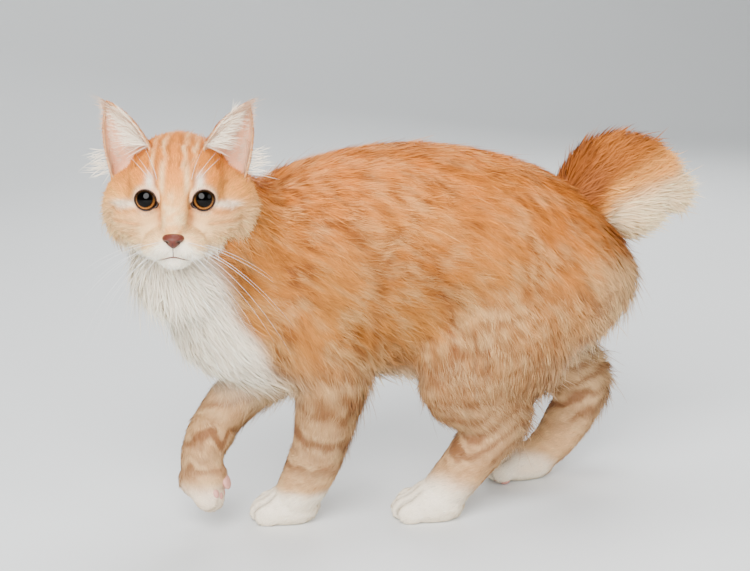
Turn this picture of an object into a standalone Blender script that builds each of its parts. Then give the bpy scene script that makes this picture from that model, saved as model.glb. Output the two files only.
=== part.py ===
"""A life-size Karelian bobtail cat, walking, with its head turned to its left and one forepaw lifted.

Metres, +Z up. The cat walks towards -X and its left side faces -Y. The origin is on the floor,
under the middle of its outline. Every size is taken out to the tips of the coat.
"""
import math
import random

import bmesh
import bpy
from mathutils import Matrix, Vector
from mathutils.bvhtree import BVHTree

# Gap kept between pieces that touch.
GAP = 0.0003
# Edges and triangles thinner than this are merged away.
SLIVER = 0.000005
# Grid of the soft forms, and how much of each is kept as triangles.
BODY_GRID = 0.0034
HEAD_GRID = 0.0018
# From the middle of the trunk, where the rows below have x = 0, to the middle of the outline.
SHIFT = Vector((0.0072, 0.0149, 0.0))

# The trunk, front to back: x, top, bottom, half the width, all with the coat.
TRUNK = (
    (-0.186, 0.224, 0.170, 0.026),
    (-0.168, 0.248, 0.134, 0.046),
    (-0.140, 0.266, 0.115, 0.056),
    (-0.110, 0.276, 0.108, 0.060),
    (-0.080, 0.288, 0.108, 0.061),
    (-0.040, 0.2970, 0.114, 0.062),
    (0.000, 0.2985, 0.112, 0.065),
    (0.040, 0.2915, 0.104, 0.068),
    (0.080, 0.280, 0.102, 0.070),
    (0.115, 0.264, 0.108, 0.069),
    (0.145, 0.243, 0.119, 0.062),
    (0.164, 0.226, 0.131, 0.052),
    (0.178, 0.209, 0.143, 0.040),
)

# The head: where the middle of the skull is at the height of the eyes, and which way it looks.
HEAD_AT = Vector((-0.1975, -0.046, 0.2785))
HEAD_YAW = math.radians(-18.0)
HEAD_ROLL = math.radians(0.5)
EYE_SPREAD = 0.0190
EYE_FORWARD = 0.0285
EYE_RADIUS = 0.0108
EYE_TURN = math.radians(9.0)
EYE_OPENING = 0.0086
LID_THICK = 0.0010

# An ear on the head's own axes: the feet of its two edges, its tip, and the depth of its cup.
EAR_INNER = (0.0200, 0.010, 0.0340)
EAR_OUTER = (0.0478, -0.006, 0.0100)
EAR_TIP = (0.0508, -0.006, 0.0640)
EAR_DEPTH = 0.018
EAR_SWELL = 0.0035
EAR_ROOT = 0.20
EAR_END = 0.94
EAR_WALL = 0.0024
EAR_TIP_WALL = 0.4
EAR_INSET = 0.0006
EAR_ROWS = 7
EAR_COLUMNS = 8

# Limbs: x, y, z of the middle of a section, half its width across, half its depth.
FORELEG_LEFT = (
    (-0.104, -0.030, 0.215, 0.030, 0.046),
    (-0.094, -0.037, 0.170, 0.029, 0.042),
    (-0.079, -0.038, 0.132, 0.0265, 0.034),
    (-0.0806, -0.035, 0.108, 0.0240, 0.0285),
    (-0.083, -0.028, 0.082, 0.0215, 0.0250),
    (-0.0856, -0.019, 0.060, 0.0195, 0.0222),
    (-0.0915, -0.010, 0.038, 0.0190, 0.0205),
    (-0.098, -0.003, 0.022, 0.0185, 0.0185),
)
FORELEG_RIGHT = (
    (-0.098, 0.034, 0.205, 0.030, 0.044),
    (-0.090, 0.038, 0.165, 0.027, 0.038),
    (-0.092, 0.036, 0.130, 0.0240, 0.030),
    (-0.118, 0.029, 0.107, 0.0205, 0.0225),
    (-0.138, 0.022, 0.095, 0.0190, 0.0205),
    (-0.158, 0.014, 0.079, 0.0180, 0.0190),
    (-0.1700, 0.008, 0.063, 0.0170, 0.0175),
    (-0.1712, 0.005, 0.046, 0.0170, 0.0172),
)
HINDLEG_LEFT = (
    (0.098, -0.030, 0.190, 0.036, 0.050),
    (0.066, -0.040, 0.156, 0.037, 0.062),
    (0.031, -0.046, 0.124, 0.031, 0.058),
    (0.042, -0.047, 0.099, 0.0260, 0.0440),
    (0.050, -0.045, 0.079, 0.0225, 0.0340),
    (0.041, -0.042, 0.058, 0.0205, 0.0215),
    (0.0285, -0.038, 0.040, 0.0195, 0.0195),
    (0.0150, -0.034, 0.023, 0.0190, 0.0180),
)
HINDLEG_RIGHT = (
    (0.108, 0.030, 0.190, 0.036, 0.050),
    (0.110, 0.040, 0.156, 0.035, 0.050),
    (0.124, 0.043, 0.126, 0.031, 0.042),
    (0.152, 0.040, 0.100, 0.0250, 0.033),
    (0.172, 0.037, 0.078, 0.0215, 0.0255),
    (0.160, 0.035, 0.052, 0.0195, 0.0215),
    (0.143, 0.033, 0.031, 0.0185, 0.0180),
    (0.127, 0.033, 0.018, 0.0175, 0.0150),
)

# Paws: heel, toe tips, half the width at the toes, height at the knuckles.
FOREPAW_LEFT = ((-0.096, 0.000, 0.0160), (-0.1200, 0.010, 0.0090), 0.0205, 0.0170)
FOREPAW_RIGHT = ((-0.1715, 0.004, 0.044), (-0.1670, 0.001, 0.0285), 0.0185, 0.0180)
HINDPAW_LEFT = ((0.014, -0.033, 0.0160), (-0.0130, -0.024, 0.0090), 0.0210, 0.0175)
HINDPAW_RIGHT = ((0.126, 0.033, 0.016), (0.090, 0.036, 0.0095), 0.0195, 0.0155)

# The bobtail: the middle and radius of its root, and the ball that its hair grows from.
TAIL_CORE = (
    (0.126, 0.0, 0.214, 0.027),
    (0.146, 0.0, 0.243, 0.032),
    (0.168, 0.0, 0.262, 0.034),
    (0.193, 0.0, 0.262, 0.031),
    (0.212, 0.0, 0.248, 0.022),
)

TAIL_BALL = Vector((0.186, 0.0, 0.247))
TAIL_RADII = Vector((0.043, 0.031, 0.038))

# Locks of longer hair: length and width of one, in each place where the coat stands out.
TAIL_LOCK = (0.031, 0.0165)
RUFF_LOCK = (0.038, 0.0190)
BREECH_LOCK = (0.030, 0.0150)
BELLY_LOCK = (0.028, 0.0160)
CHEEK_LOCK = (0.029, 0.0140)
EAR_LOCK = (0.035, 0.0075)
LOCK_THICK = 0.26
LOCK_SINK = 0.0040
LOCK_BACK = 0.15

# The bib's rows: height above its middle, number of locks, and how far round it goes in degrees.
RUFF_MIDDLE = Vector((-0.125, -0.006, 0.0))
RUFF_ROWS = ((0.228, 6, 75), (0.212, 7, 85), (0.195, 7, 85), (0.178, 7, 80), (0.161, 6, 70), (0.146, 5, 55))
# The cheeks' locks on the head's own axes: how far forward and how high.
CHEEK_ROOTS = ((0.006, -0.008), (-0.008, -0.004), (-0.020, -0.010), (0.000, -0.018), (-0.014, -0.020),
               (0.012, -0.026), (-0.004, -0.030), (-0.020, -0.030))
# The tufts in an ear: how far out and how high they start, and how they rise.
EAR_TUFTS = ((0.034, 0.021, -0.06), (0.036, 0.032, 0.22))
GOLDEN_ANGLE = math.pi * (3 - math.sqrt(5))

COAT = (0.80, 0.53, 0.33)
CREAM = (0.88, 0.80, 0.69)


def clear_scene():
    for obj in list(bpy.data.objects):
        bpy.data.objects.remove(obj, do_unlink=True)


def new_collection(name, hidden=False):
    collection = bpy.data.collections.new(name)
    bpy.context.scene.collection.children.link(collection)
    collection.hide_render = hidden
    return collection


def new_material(name, colour, roughness, metallic=0.0):
    material = bpy.data.materials.new(name)
    material.use_nodes = True
    shader = material.node_tree.nodes["Principled BSDF"]
    shader.inputs["Base Color"].default_value = (*colour, 1.0)
    shader.inputs["Roughness"].default_value = roughness
    shader.inputs["Metallic"].default_value = metallic
    return material


def object_from(mesh_builder, name, collection):
    mesh = bpy.data.meshes.new(name)
    mesh_builder.to_mesh(mesh)
    mesh_builder.free()
    obj = bpy.data.objects.new(name, mesh)
    collection.objects.link(obj)
    return obj


def evaluated_mesh(obj):
    """The object's mesh with its modifiers applied and its place in it."""
    bpy.context.view_layer.update()
    graph = bpy.context.evaluated_depsgraph_get()
    mesh = bpy.data.meshes.new_from_object(obj.evaluated_get(graph))
    mesh.transform(obj.matrix_world)
    return mesh


def settle(obj):
    """Applies every modifier and the object's own place."""
    mesh = evaluated_mesh(obj)
    obj.modifiers.clear()
    obj.data = mesh
    obj.matrix_world = Matrix.Identity(4)
    return obj


def catmull(rows, t):
    """The row at t, from 0 to the last row's number, on a smooth curve through all the rows."""
    last = len(rows) - 1
    i = min(int(t), last - 1)
    u = t - i
    a, b, c, d = (rows[max(0, min(last, i + k))] for k in (-1, 0, 1, 2))
    return [
        0.5 * (2 * q + (r - p) * u + (2 * p - 5 * q + 4 * r - s) * u * u + (3 * q - p - 3 * r + s) * u ** 3)
        for p, q, r, s in zip(a, b, c, d)
    ]


def ring(builder, middle, across, along, half_across, half_along, count):
    """One closed ring of points: an ellipse in the plane of the directions across and along."""
    points = []
    for k in range(count):
        angle = 2 * math.pi * k / count
        offset = across * (half_across * math.cos(angle)) + along * (half_along * math.sin(angle))
        points.append(builder.verts.new(middle + offset))
    return points


def skin_rings(builder, rings):
    """Faces between neighbouring rings, and a fan over each end."""
    for first, second in zip(rings, rings[1:]):
        count = len(first)
        for k in range(count):
            n = (k + 1) % count
            builder.faces.new((first[k], first[n], second[n], second[k]))
    builder.faces.new(list(reversed(rings[0])))
    builder.faces.new(rings[-1])
    bmesh.ops.recalc_face_normals(builder, faces=builder.faces)


def limb(builder, rows, side=Vector((0.0, 1.0, 0.0)), steps=4, count=20, bulge=1.0):
    """A loft of ellipses square to a smooth path, with rounded ends."""
    part = bmesh.new()
    places = [catmull(rows, i / steps) for i in range((len(rows) - 1) * steps + 1)]
    rings = []
    last = len(places) - 1
    for i, row in enumerate(places):
        before = Vector(places[max(0, i - 1)][:3])
        after = Vector(places[min(last, i + 1)][:3])
        tangent = (after - before).normalized()
        across = (side - tangent * side.dot(tangent)).normalized()
        along = tangent.cross(across)
        middle = Vector(row[:3])
        half_across = row[3]
        half_along = row[4] if len(row) > 4 else row[3]
        ends = ((-0.90, 0.44), (-0.55, 0.83)) if i == 0 else ()
        for push, share in ends:
            rings.append(ring(part, middle + tangent * (push * half_across * bulge), across, along,
                              half_across * share, half_along * share, count))
        rings.append(ring(part, middle, across, along, half_across, half_along, count))
        ends = ((0.55, 0.83), (0.90, 0.44)) if i == last else ()
        for push, share in ends:
            rings.append(ring(part, middle + tangent * (push * half_across * bulge), across, along,
                              half_across * share, half_along * share, count))
    skin_rings(part, rings)
    merge_into(builder, part)


def merge_into(builder, part):
    mesh = bpy.data.meshes.new("part")
    part.to_mesh(mesh)
    part.free()
    builder.from_mesh(mesh)
    bpy.data.meshes.remove(mesh)


def ball(builder, middle, radii, turn=None, segments=24):
    """An ellipsoid."""
    place = Matrix.Translation(middle) @ (turn or Matrix.Identity(4)) @ Matrix.Diagonal((*radii, 1.0))
    bmesh.ops.create_uvsphere(builder, u_segments=segments, v_segments=segments // 2, radius=1.0, matrix=place)


def trunk(builder):
    """The trunk: upright ellipses from the breast to the rump."""
    rows = [
        (x, 0.0, (top + bottom) / 2, half, (top - bottom) / 2)
        for x, top, bottom, half in TRUNK
    ]
    limb(builder, rows, steps=3, count=28, bulge=0.42)


def head_frame():
    """From the head's own axes, x to its left, y forwards and z up, to the row frame."""
    turn = Matrix.Rotation(HEAD_YAW, 4, "Z") @ Matrix.Rotation(HEAD_ROLL, 4, "Y")
    facing = Matrix(((1, 0, 0, 0), (0, -1, 0, 0), (0, 0, 1, 0), (0, 0, 0, 1)))
    return Matrix.Translation(HEAD_AT) @ turn @ facing


def on_head(x, y, z):
    return head_frame() @ Vector((x, y, z))


def head_masses(builder):
    """Skull, cheeks, muzzle, chin, brows and bridge of the nose, with the coat on them."""
    part = bmesh.new()
    ball(part, (0, -0.010, 0.002), (0.041, 0.047, 0.0400))
    ball(part, (0, 0.014, 0.012), (0.033, 0.025, 0.025))
    ball(part, (0, 0.012, -0.030), (0.036, 0.034, 0.0180))
    ball(part, (0, 0.036, -0.0300), (0.0235, 0.0200, 0.0150))
    ball(part, (0, 0.0440, -0.0405), (0.0125, 0.0115, 0.0072))
    limb(part, ((0, 0.025, 0.012, 0.014), (0, 0.0400, -0.005, 0.0112), (0, 0.0510, -0.0200, 0.0085)),
         side=Vector((1, 0, 0)))
    for s in (-1, 1):
        ball(part, (s * 0.0290 + 0.0012, -0.003, -0.0115), (0.0285, 0.031, 0.0300))
        ball(part, (s * 0.0112, 0.0465, -0.0310), (0.0128, 0.0122, 0.0105))
        ball(part, (s * 0.0195, 0.0230, 0.0120), (0.0150, 0.0120, 0.0100))
        ball(part, (s * 0.0190, 0.0235, 0.0000), (0.0150, 0.0138, 0.0138))
        ball(part, (s * 0.0260, 0.0220, -0.0150), (0.0200, 0.0170, 0.0150))
        ball(part, (s * 0.0240, -0.014, 0.0210), (0.0170, 0.0150, 0.0140))
    bmesh.ops.transform(part, matrix=head_frame(), verts=part.verts)
    # A mirrored frame turns each face round.
    bmesh.ops.recalc_face_normals(part, faces=part.faces)
    merge_into(builder, part)


def neck(builder):
    """The neck and the bib of longer hair below the throat."""
    limb(builder, (
        (-0.085, 0.000, 0.214, 0.057, 0.062),
        (-0.130, -0.002, 0.220, 0.056, 0.058),
        (-0.158, -0.012, 0.234, 0.053, 0.054),
        (-0.182, -0.030, 0.256, 0.047, 0.047),
    ), count=24)
    ball(builder, (-0.164, -0.010, 0.196), (0.034, 0.041, 0.050))
    ball(builder, (-0.187, -0.022, 0.225), (0.031, 0.040, 0.036))


def paw(builder, rows, flat):
    """A rounded foot with four toes, between its heel and its toe tips."""
    heel, toes, half, height = rows
    heel = Vector(heel)
    toes = Vector(toes)
    ahead = (toes - heel).normalized()
    side = Vector((0, 1, 0)) if flat else Vector((0.45, 0.89, 0)).normalized()
    side = (side - ahead * side.dot(ahead)).normalized()
    limb(builder, (
        (*heel, half * 0.93, height * 1.15),
        (*(heel * 0.5 + toes * 0.5), half * 0.98, height),
        (*(heel * 0.15 + toes * 0.85), half * 0.86, height * 0.72),
    ), side=side)
    up = ahead.cross(side)
    up = up if up.z > 0 else -up
    for k in range(4):
        across = (k - 1.5) / 1.5
        middle = toes + side * (across * half * 0.66) - ahead * (0.0055 * abs(across) - 0.001)
        turn = Matrix((ahead, side, up)).transposed().to_4x4()
        ball(builder, middle, (height * 0.72, half * 0.33, height * 0.62), turn, 16)


def soft_form(builder, name, collection, grid, smooth, keep):
    """One smooth closed surface round overlapping masses, thinned to a share of its faces."""
    obj = object_from(builder, name, collection)
    remesh = obj.modifiers.new("Remesh", "REMESH")
    remesh.mode = "VOXEL"
    remesh.voxel_size = grid
    soften = obj.modifiers.new("Smooth", "SMOOTH")
    soften.factor = 0.5
    soften.iterations = smooth
    thin = obj.modifiers.new("Decimate", "DECIMATE")
    thin.ratio = keep
    return settle(obj)


def hull(points, name, collection):
    builder = bmesh.new()
    for point in points:
        builder.verts.new(point)
    made = bmesh.ops.convex_hull(builder, input=builder.verts)
    spare = [v for v in made["geom_interior"] if isinstance(v, bmesh.types.BMVert)]
    bmesh.ops.delete(builder, geom=spare, context="VERTS")
    bmesh.ops.recalc_face_normals(builder, faces=builder.faces)
    return object_from(builder, name, collection)


def half_space(point, normal, name, collection, size=0.5):
    """A large block whose one face passes through the point, on the side the normal points to."""
    builder = bmesh.new()
    bmesh.ops.create_cube(builder, size=2 * size)
    turn = Vector(normal).to_track_quat("Z", "Y").to_matrix().to_4x4()
    place = Matrix.Translation(Vector(point)) @ turn @ Matrix.Translation((0, 0, size))
    bmesh.ops.transform(builder, matrix=place, verts=builder.verts)
    return object_from(builder, name, collection)


def grown(obj, by, collection):
    """A copy of a closed mesh, each point moved out along its normal."""
    copy = bpy.data.objects.new(obj.name + "_grown", obj.data.copy())
    collection.objects.link(copy)
    push = copy.modifiers.new("Displace", "DISPLACE")
    push.strength = by
    push.mid_level = 0.0
    return settle(copy)


def boolean(obj, other, operation, solver="EXACT"):
    cut = obj.modifiers.new("Boolean", "BOOLEAN")
    cut.operation = operation
    cut.object = other
    cut.solver = solver
    settle(obj)
    return keep_largest(obj)


def keep_largest(obj):
    """Keeps only the closed surface that holds most room."""
    builder = bmesh.new()
    builder.from_mesh(obj.data)
    unseen = set(builder.verts)
    islands = []
    while unseen:
        stack = [unseen.pop()]
        island = set(stack)
        while stack:
            for edge in stack.pop().link_edges:
                for vert in edge.verts:
                    if vert in unseen:
                        unseen.remove(vert)
                        island.add(vert)
                        stack.append(vert)
        islands.append(island)
    if len(islands) > 1:
        def room(island):
            faces = {face for vert in island for face in vert.link_faces}
            return abs(sum(
                face.verts[0].co.dot(a.co.cross(b.co)) / 6
                for face in faces
                for a, b in zip(face.verts[1:], face.verts[2:])
            ))
        best = max(islands, key=room)
        spare = [vert for vert in builder.verts if vert not in best]
        bmesh.ops.delete(builder, geom=spare, context="VERTS")
        builder.to_mesh(obj.data)
    builder.free()
    return obj


def tidied(obj):
    """A node cut into triangles, without slivers and the flat flaps left where a point lies on an edge."""
    builder = bmesh.new()
    builder.from_mesh(obj.data)
    bmesh.ops.remove_doubles(builder, verts=builder.verts, dist=SLIVER)
    bmesh.ops.triangulate(builder, faces=builder.faces)
    bmesh.ops.dissolve_degenerate(builder, edges=builder.edges, dist=SLIVER)
    bmesh.ops.triangulate(builder, faces=builder.faces)
    flaps = True
    while flaps:
        twins = {}
        for face in builder.faces:
            twins.setdefault(frozenset(face.verts), []).append(face)
        flaps = [face for pair in twins.values() if len(pair) > 1 for face in pair]
        flaps += [face for face in builder.faces if sum(edge.is_boundary for edge in face.edges) > 1]
        bmesh.ops.delete(builder, geom=flaps, context="FACES")
    builder.to_mesh(obj.data)
    builder.free()
    return obj


def copy_of(obj, name, collection):
    copy = bpy.data.objects.new(name, obj.data.copy())
    collection.objects.link(copy)
    return copy


def part_with(body, cutter, name, collection, cutters):
    """Takes what lies inside the cutter off the body, as a piece of its own, with the gap between."""
    piece = copy_of(body, name, collection)
    boolean(piece, cutter, "INTERSECT")
    boolean(body, grown(cutter, 1.4 * GAP, cutters), "DIFFERENCE")
    return piece


def leg_cutter(outline, inner, outer, name, collection):
    """A block seen from the side as the outline, from a slanting inner face out past the leg."""
    def inner_at(z):
        for (z0, y0), (z1, y1) in zip(inner, inner[1:]):
            if z <= z1:
                return y0 + (y1 - y0) * (z - z0) / (z1 - z0)
        return inner[-1][1]
    points = []
    for x, z in outline:
        points.append((x, inner_at(z), z))
        points.append((x, outer, z))
    return hull(points, name, collection)


def surface_of(obj):
    """A search tree over a finished mesh."""
    builder = bmesh.new()
    builder.from_mesh(obj.data)
    tree = BVHTree.FromBMesh(builder)
    builder.free()
    return tree


def lock(root, normal, way, size, lift, bend, name, collection, sink=LOCK_SINK, back=LOCK_BACK):
    """A flat, tapered lock of hair, sunk in and set back at its root, that lies along way and bends."""
    length, width = size
    along = (way - normal * way.dot(normal)).normalized()
    start = root - normal * sink - along * (back * length)
    rings = []
    part = bmesh.new()
    for t, share in ((0.0, 0.80), (0.38, 1.0), (0.74, 0.66)):
        middle = start + along * (length * t) + normal * (lift * length * t) + bend * (length * t * t)
        heading = (along + normal * lift + bend * (2 * t)).normalized()
        across = heading.cross(normal).normalized()
        over = across.cross(heading)
        half = 0.5 * width * share
        thick = max(half * LOCK_THICK, 0.0006)
        rings.append([part.verts.new(middle + offset)
                      for offset in (across * half - over * thick, over * thick, -across * half - over * thick)])
    tip = part.verts.new(start + (along + normal * lift + bend) * length)
    for first, second in zip(rings, rings[1:]):
        for k in range(3):
            part.faces.new((first[k], first[(k + 1) % 3], second[(k + 1) % 3], second[k]))
    for k in range(3):
        part.faces.new((rings[-1][k], rings[-1][(k + 1) % 3], tip))
    part.faces.new(list(reversed(rings[0])))
    bmesh.ops.triangulate(part, faces=part.faces)
    bmesh.ops.recalc_face_normals(part, faces=part.faces)
    return object_from(part, name, collection)


def fuse(obj, locks):
    """Joins a collection of locks to the node they grow from, in one union."""
    join = obj.modifiers.new("Locks", "BOOLEAN")
    join.operation = "UNION"
    join.operand_type = "COLLECTION"
    join.collection = locks
    join.solver = "MANIFOLD"
    settle(obj)
    for piece in list(locks.objects):
        bpy.data.objects.remove(piece)
    bpy.data.collections.remove(locks)
    return keep_largest(obj)


def varied(rng, size, spread=0.14):
    return (size[0] * (1 + rng.uniform(-spread, spread)), size[1] * (1 + rng.uniform(-spread, spread)))


def tail_locks(tail):
    """The pompom: locks all round the core, that sweep up, over and back from the root."""
    rng = random.Random(11)
    tree = surface_of(tail)
    locks = new_collection("tail_locks")
    count = 62
    crease = Vector((0.132, 0.0, 0.236))
    for k in range(count):
        z = 1 - 2 * (k + 0.5) / count
        angle = k * GOLDEN_ANGLE
        flat = math.sqrt(1 - z * z)
        ray = Vector((flat * math.cos(angle), flat * math.sin(angle), z))
        start = TAIL_BALL + Vector((ray.x * 0.09, ray.y * 0.09, ray.z * 0.09))
        root, normal, _, _ = tree.ray_cast(start, -ray)
        if root is None or root.x < 0.140 and root.z < 0.262 or (root - crease).length < 0.030:
            continue
        way = (root - crease).normalized() + Vector((0.35, 0, 0.0))
        lift = 0.40 + rng.uniform(-0.08, 0.08) - (0.22 if root.x < 0.165 else 0.0)
        lock(root, normal, way, varied(rng, TAIL_LOCK), lift, Vector((0, 0, -0.08)), "lock", locks)
    return fuse(tail, locks)


def ruff_locks(neck_node):
    """The bib: rows of long locks round the breast, from the throat down."""
    rng = random.Random(23)
    tree = surface_of(neck_node)
    locks = new_collection("ruff_locks")
    for row, (height, count, reach) in enumerate(RUFF_ROWS):
        for k in range(count):
            angle = math.radians(-reach + 2 * reach * (k + 0.5) / count + rng.uniform(-3, 3))
            ray = Vector((-math.cos(angle), -math.sin(angle), 0.0))
            root, normal, _, _ = tree.ray_cast(RUFF_MIDDLE + Vector((0, 0, height)) + ray * 0.2, -ray)
            if root is None or normal.dot(ray) < 0.15:
                continue
            way = Vector((0.10, 0.25 * ray.y, -1.0))
            lock(root, normal, way, varied(rng, RUFF_LOCK), 0.17, ray * 0.06, "lock", locks)
    return fuse(neck_node, locks)


def breech_locks(leg, side, rear):
    """Long hair down the back edge of a thigh."""
    rng = random.Random(31 + side)
    tree = surface_of(leg)
    locks = new_collection("breech_locks")
    for k in range(7):
        for column in (-1, 1):
            height = 0.198 - 0.0150 * k - 0.004 * column
            start = Vector((0.30, rear + 0.014 * column, height))
            root, normal, _, _ = tree.ray_cast(start, Vector((-1, 0, 0)))
            if root is None:
                continue
            way = Vector((0.10, 0.10 * column, -1.0))
            lock(root, normal, way, varied(rng, BREECH_LOCK), 0.24, Vector((0.05, 0, 0)), "lock", locks)
    return fuse(leg, locks)


def belly_locks(torso):
    """A fringe along the belly, swept back."""
    rng = random.Random(41)
    tree = surface_of(torso)
    locks = new_collection("belly_locks")
    for k in range(6):
        for column in (-1, 1):
            start = Vector((-0.022 + 0.0190 * k + 0.005 * column, 0.020 * column, -0.05))
            root, normal, _, _ = tree.ray_cast(start, Vector((0, 0, 1)))
            if root is None or root.z > 0.150:
                continue
            way = Vector((1.0, 0.15 * column, -0.2))
            lock(root, normal, way, varied(rng, BELLY_LOCK), 0.26, Vector((0, 0, -0.06)), "lock", locks)
    return fuse(torso, locks)


def cheek_locks(head):
    """The ruff of the cheeks: locks that sweep down and back from below the eyes."""
    rng = random.Random(53)
    tree = surface_of(head)
    locks = new_collection("cheek_locks")
    for side in (-1, 1):
        for b, c in CHEEK_ROOTS:
            ray = (head_frame().to_3x3() @ Vector((side, 0.15, -0.25))).normalized()
            root, normal, _, _ = tree.ray_cast(on_head(side * 0.02, b, c) + ray * 0.10, -ray)
            if root is None:
                continue
            way = head_frame().to_3x3() @ Vector((side * 0.10, -0.15, -1.0))
            lock(root, normal, way, varied(rng, CHEEK_LOCK), 0.16, Vector((0, 0, -0.05)), "lock", locks)
    return fuse(head, locks)


def ear_locks(auricle, side):
    """The tufts inside an ear, that cross its opening outwards."""
    rng = random.Random(61 + side)
    tree = surface_of(auricle)
    locks = new_collection("ear_locks")
    facing = head_frame().to_3x3()
    for a, c, rise in EAR_TUFTS:
        root, normal, _, _ = tree.ray_cast(on_head(side * a, 0.05, c), facing @ Vector((0, -1, 0)))
        if root is None:
            continue
        way = facing @ Vector((side, 0.0, rise))
        lock(root, normal, way, varied(rng, EAR_LOCK), 0.42, Vector((0, 0, 0)), "tuft", locks, EAR_WALL / 2, 0.0)
    return fuse(auricle, locks)


def ear_trough(side):
    """The half-round trough between an ear's inner and outer edges, as rows of points from foot to tip."""
    inner_foot = Vector((side * EAR_INNER[0], EAR_INNER[1], EAR_INNER[2]))
    outer_foot = Vector((side * EAR_OUTER[0], EAR_OUTER[1], EAR_OUTER[2]))
    tip = Vector((side * EAR_TIP[0], EAR_TIP[1], EAR_TIP[2]))
    grid = []
    for i in range(EAR_ROWS):
        v = -EAR_ROOT + (EAR_END + EAR_ROOT) * i / (EAR_ROWS - 1)
        swell = math.sin(math.pi * max(v, 0.0)) * EAR_SWELL
        inner = inner_foot.lerp(tip, v) + Vector((-side * 0.7, 0, 0.7)) * swell
        outer = outer_foot.lerp(tip, v) + Vector((side, 0, 0)) * swell
        pinch = 0.5 * max(-v / EAR_ROOT, 0.0) ** 2
        middle = inner.lerp(outer, 0.5)
        inner = inner.lerp(middle, pinch)
        outer = outer.lerp(middle, pinch)
        depth = EAR_DEPTH * (1 - max(v, 0.0)) ** 0.8 * (1 - pinch)
        line = []
        for j in range(EAR_COLUMNS):
            angle = math.pi * j / (EAR_COLUMNS - 1)
            share = 0.5 - 0.5 * math.cos(angle)
            line.append(inner.lerp(outer, share) - Vector((0, 1, 0)) * (depth * math.sin(angle)))
        grid.append(line)
    return grid


def ear(side, head, collection, cutters):
    """A cupped ear, thickened to both sides of its trough, and the hollow in front of it cut into the head."""
    builder = bmesh.new()
    weights = builder.verts.layers.deform.verify()
    grid = [[builder.verts.new(point) for point in line] for line in ear_trough(side)]
    for i, line in enumerate(grid):
        for vert in line:
            vert[weights][0] = min(1.0, EAR_TIP_WALL + 1.6 * (1 - i / (EAR_ROWS - 1)))
    for low, high in zip(grid, grid[1:]):
        for j in range(EAR_COLUMNS - 1):
            builder.faces.new((low[j], low[j + 1], high[j + 1], high[j]))
    bmesh.ops.transform(builder, matrix=head_frame(), verts=builder.verts)
    auricle = object_from(builder, "ear_left" if side > 0 else "ear_right", collection)
    auricle.vertex_groups.new(name="wall")
    wall = auricle.modifiers.new("Solidify", "SOLIDIFY")
    wall.vertex_group = "wall"
    wall.thickness = EAR_WALL
    wall.offset = 0.0
    settle(auricle)
    back = Vector((0, -EAR_INSET, 0))
    front = Vector((0, 0.030, 0))
    points = [head_frame() @ (point + back) for line in ear_trough(side) for point in line]
    points += [head_frame() @ (line[k] + front) for line in ear_trough(side)[2:] for k in (0, -1)]
    boolean(head, hull(points, "ear_hollow", cutters), "DIFFERENCE")
    ear_locks(auricle, side)
    boolean(auricle, grown(head, GAP, cutters), "DIFFERENCE")
    return auricle


def eye_place(side):
    """Where an eyeball is, its own z axis looking out."""
    turn = Matrix.Rotation(-side * EYE_TURN, 4, "Z") @ Matrix.Rotation(-math.pi / 2, 4, "X")
    return head_frame() @ Matrix.Translation((side * EYE_SPREAD, EYE_FORWARD, 0.0)) @ turn


def eyeball(side, radius, name, collection, segments=18):
    builder = bmesh.new()
    bmesh.ops.create_uvsphere(builder, u_segments=segments, v_segments=segments // 2, radius=radius)
    bmesh.ops.transform(builder, matrix=eye_place(side), verts=builder.verts)
    bmesh.ops.recalc_face_normals(builder, faces=builder.faces)
    return object_from(builder, name, collection)


def tube(points, radius, name, collection, closed=False):
    """A round bar along points, from a curve with a bevel, as one closed mesh."""
    curve = bpy.data.curves.new(name, "CURVE")
    curve.dimensions = "3D"
    curve.bevel_depth = radius
    curve.bevel_resolution = 1
    curve.use_fill_caps = True
    spline = curve.splines.new("POLY")
    spline.points.add(len(points) - 1)
    for place, point in zip(spline.points, points):
        place.co = (*point, 1.0)
    spline.use_cyclic_u = closed
    bar = bpy.data.objects.new(name, curve)
    collection.objects.link(bar)
    mesh = evaluated_mesh(bar)
    bpy.data.objects.remove(bar)
    builder = bmesh.new()
    builder.from_mesh(mesh)
    bmesh.ops.remove_doubles(builder, verts=builder.verts, dist=0.00002)
    bmesh.ops.recalc_face_normals(builder, faces=builder.faces)
    return object_from(builder, name, collection)


def opening_points(side, grow, lift, count=18):
    """The rim of an eye's opening on a sphere round the eyeball, drawn out at the inner corner."""
    points = []
    for k in range(count):
        angle = 2 * math.pi * k / count
        corner = math.exp(-((math.cos(angle - math.radians(205)) - 1) / 0.10) ** 2)
        reach = (EYE_OPENING + grow) * (1 + 0.16 * corner)
        x = side * reach * math.cos(angle)
        y = reach * math.sin(angle) * (0.95 if math.sin(angle) > 0 else 1.0)
        radius = EYE_RADIUS + lift
        z = math.sqrt(max(radius ** 2 - x * x - y * y, 0.0000090))
        points.append(eye_place(side) @ Vector((x, -y, z)))
    return points


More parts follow.
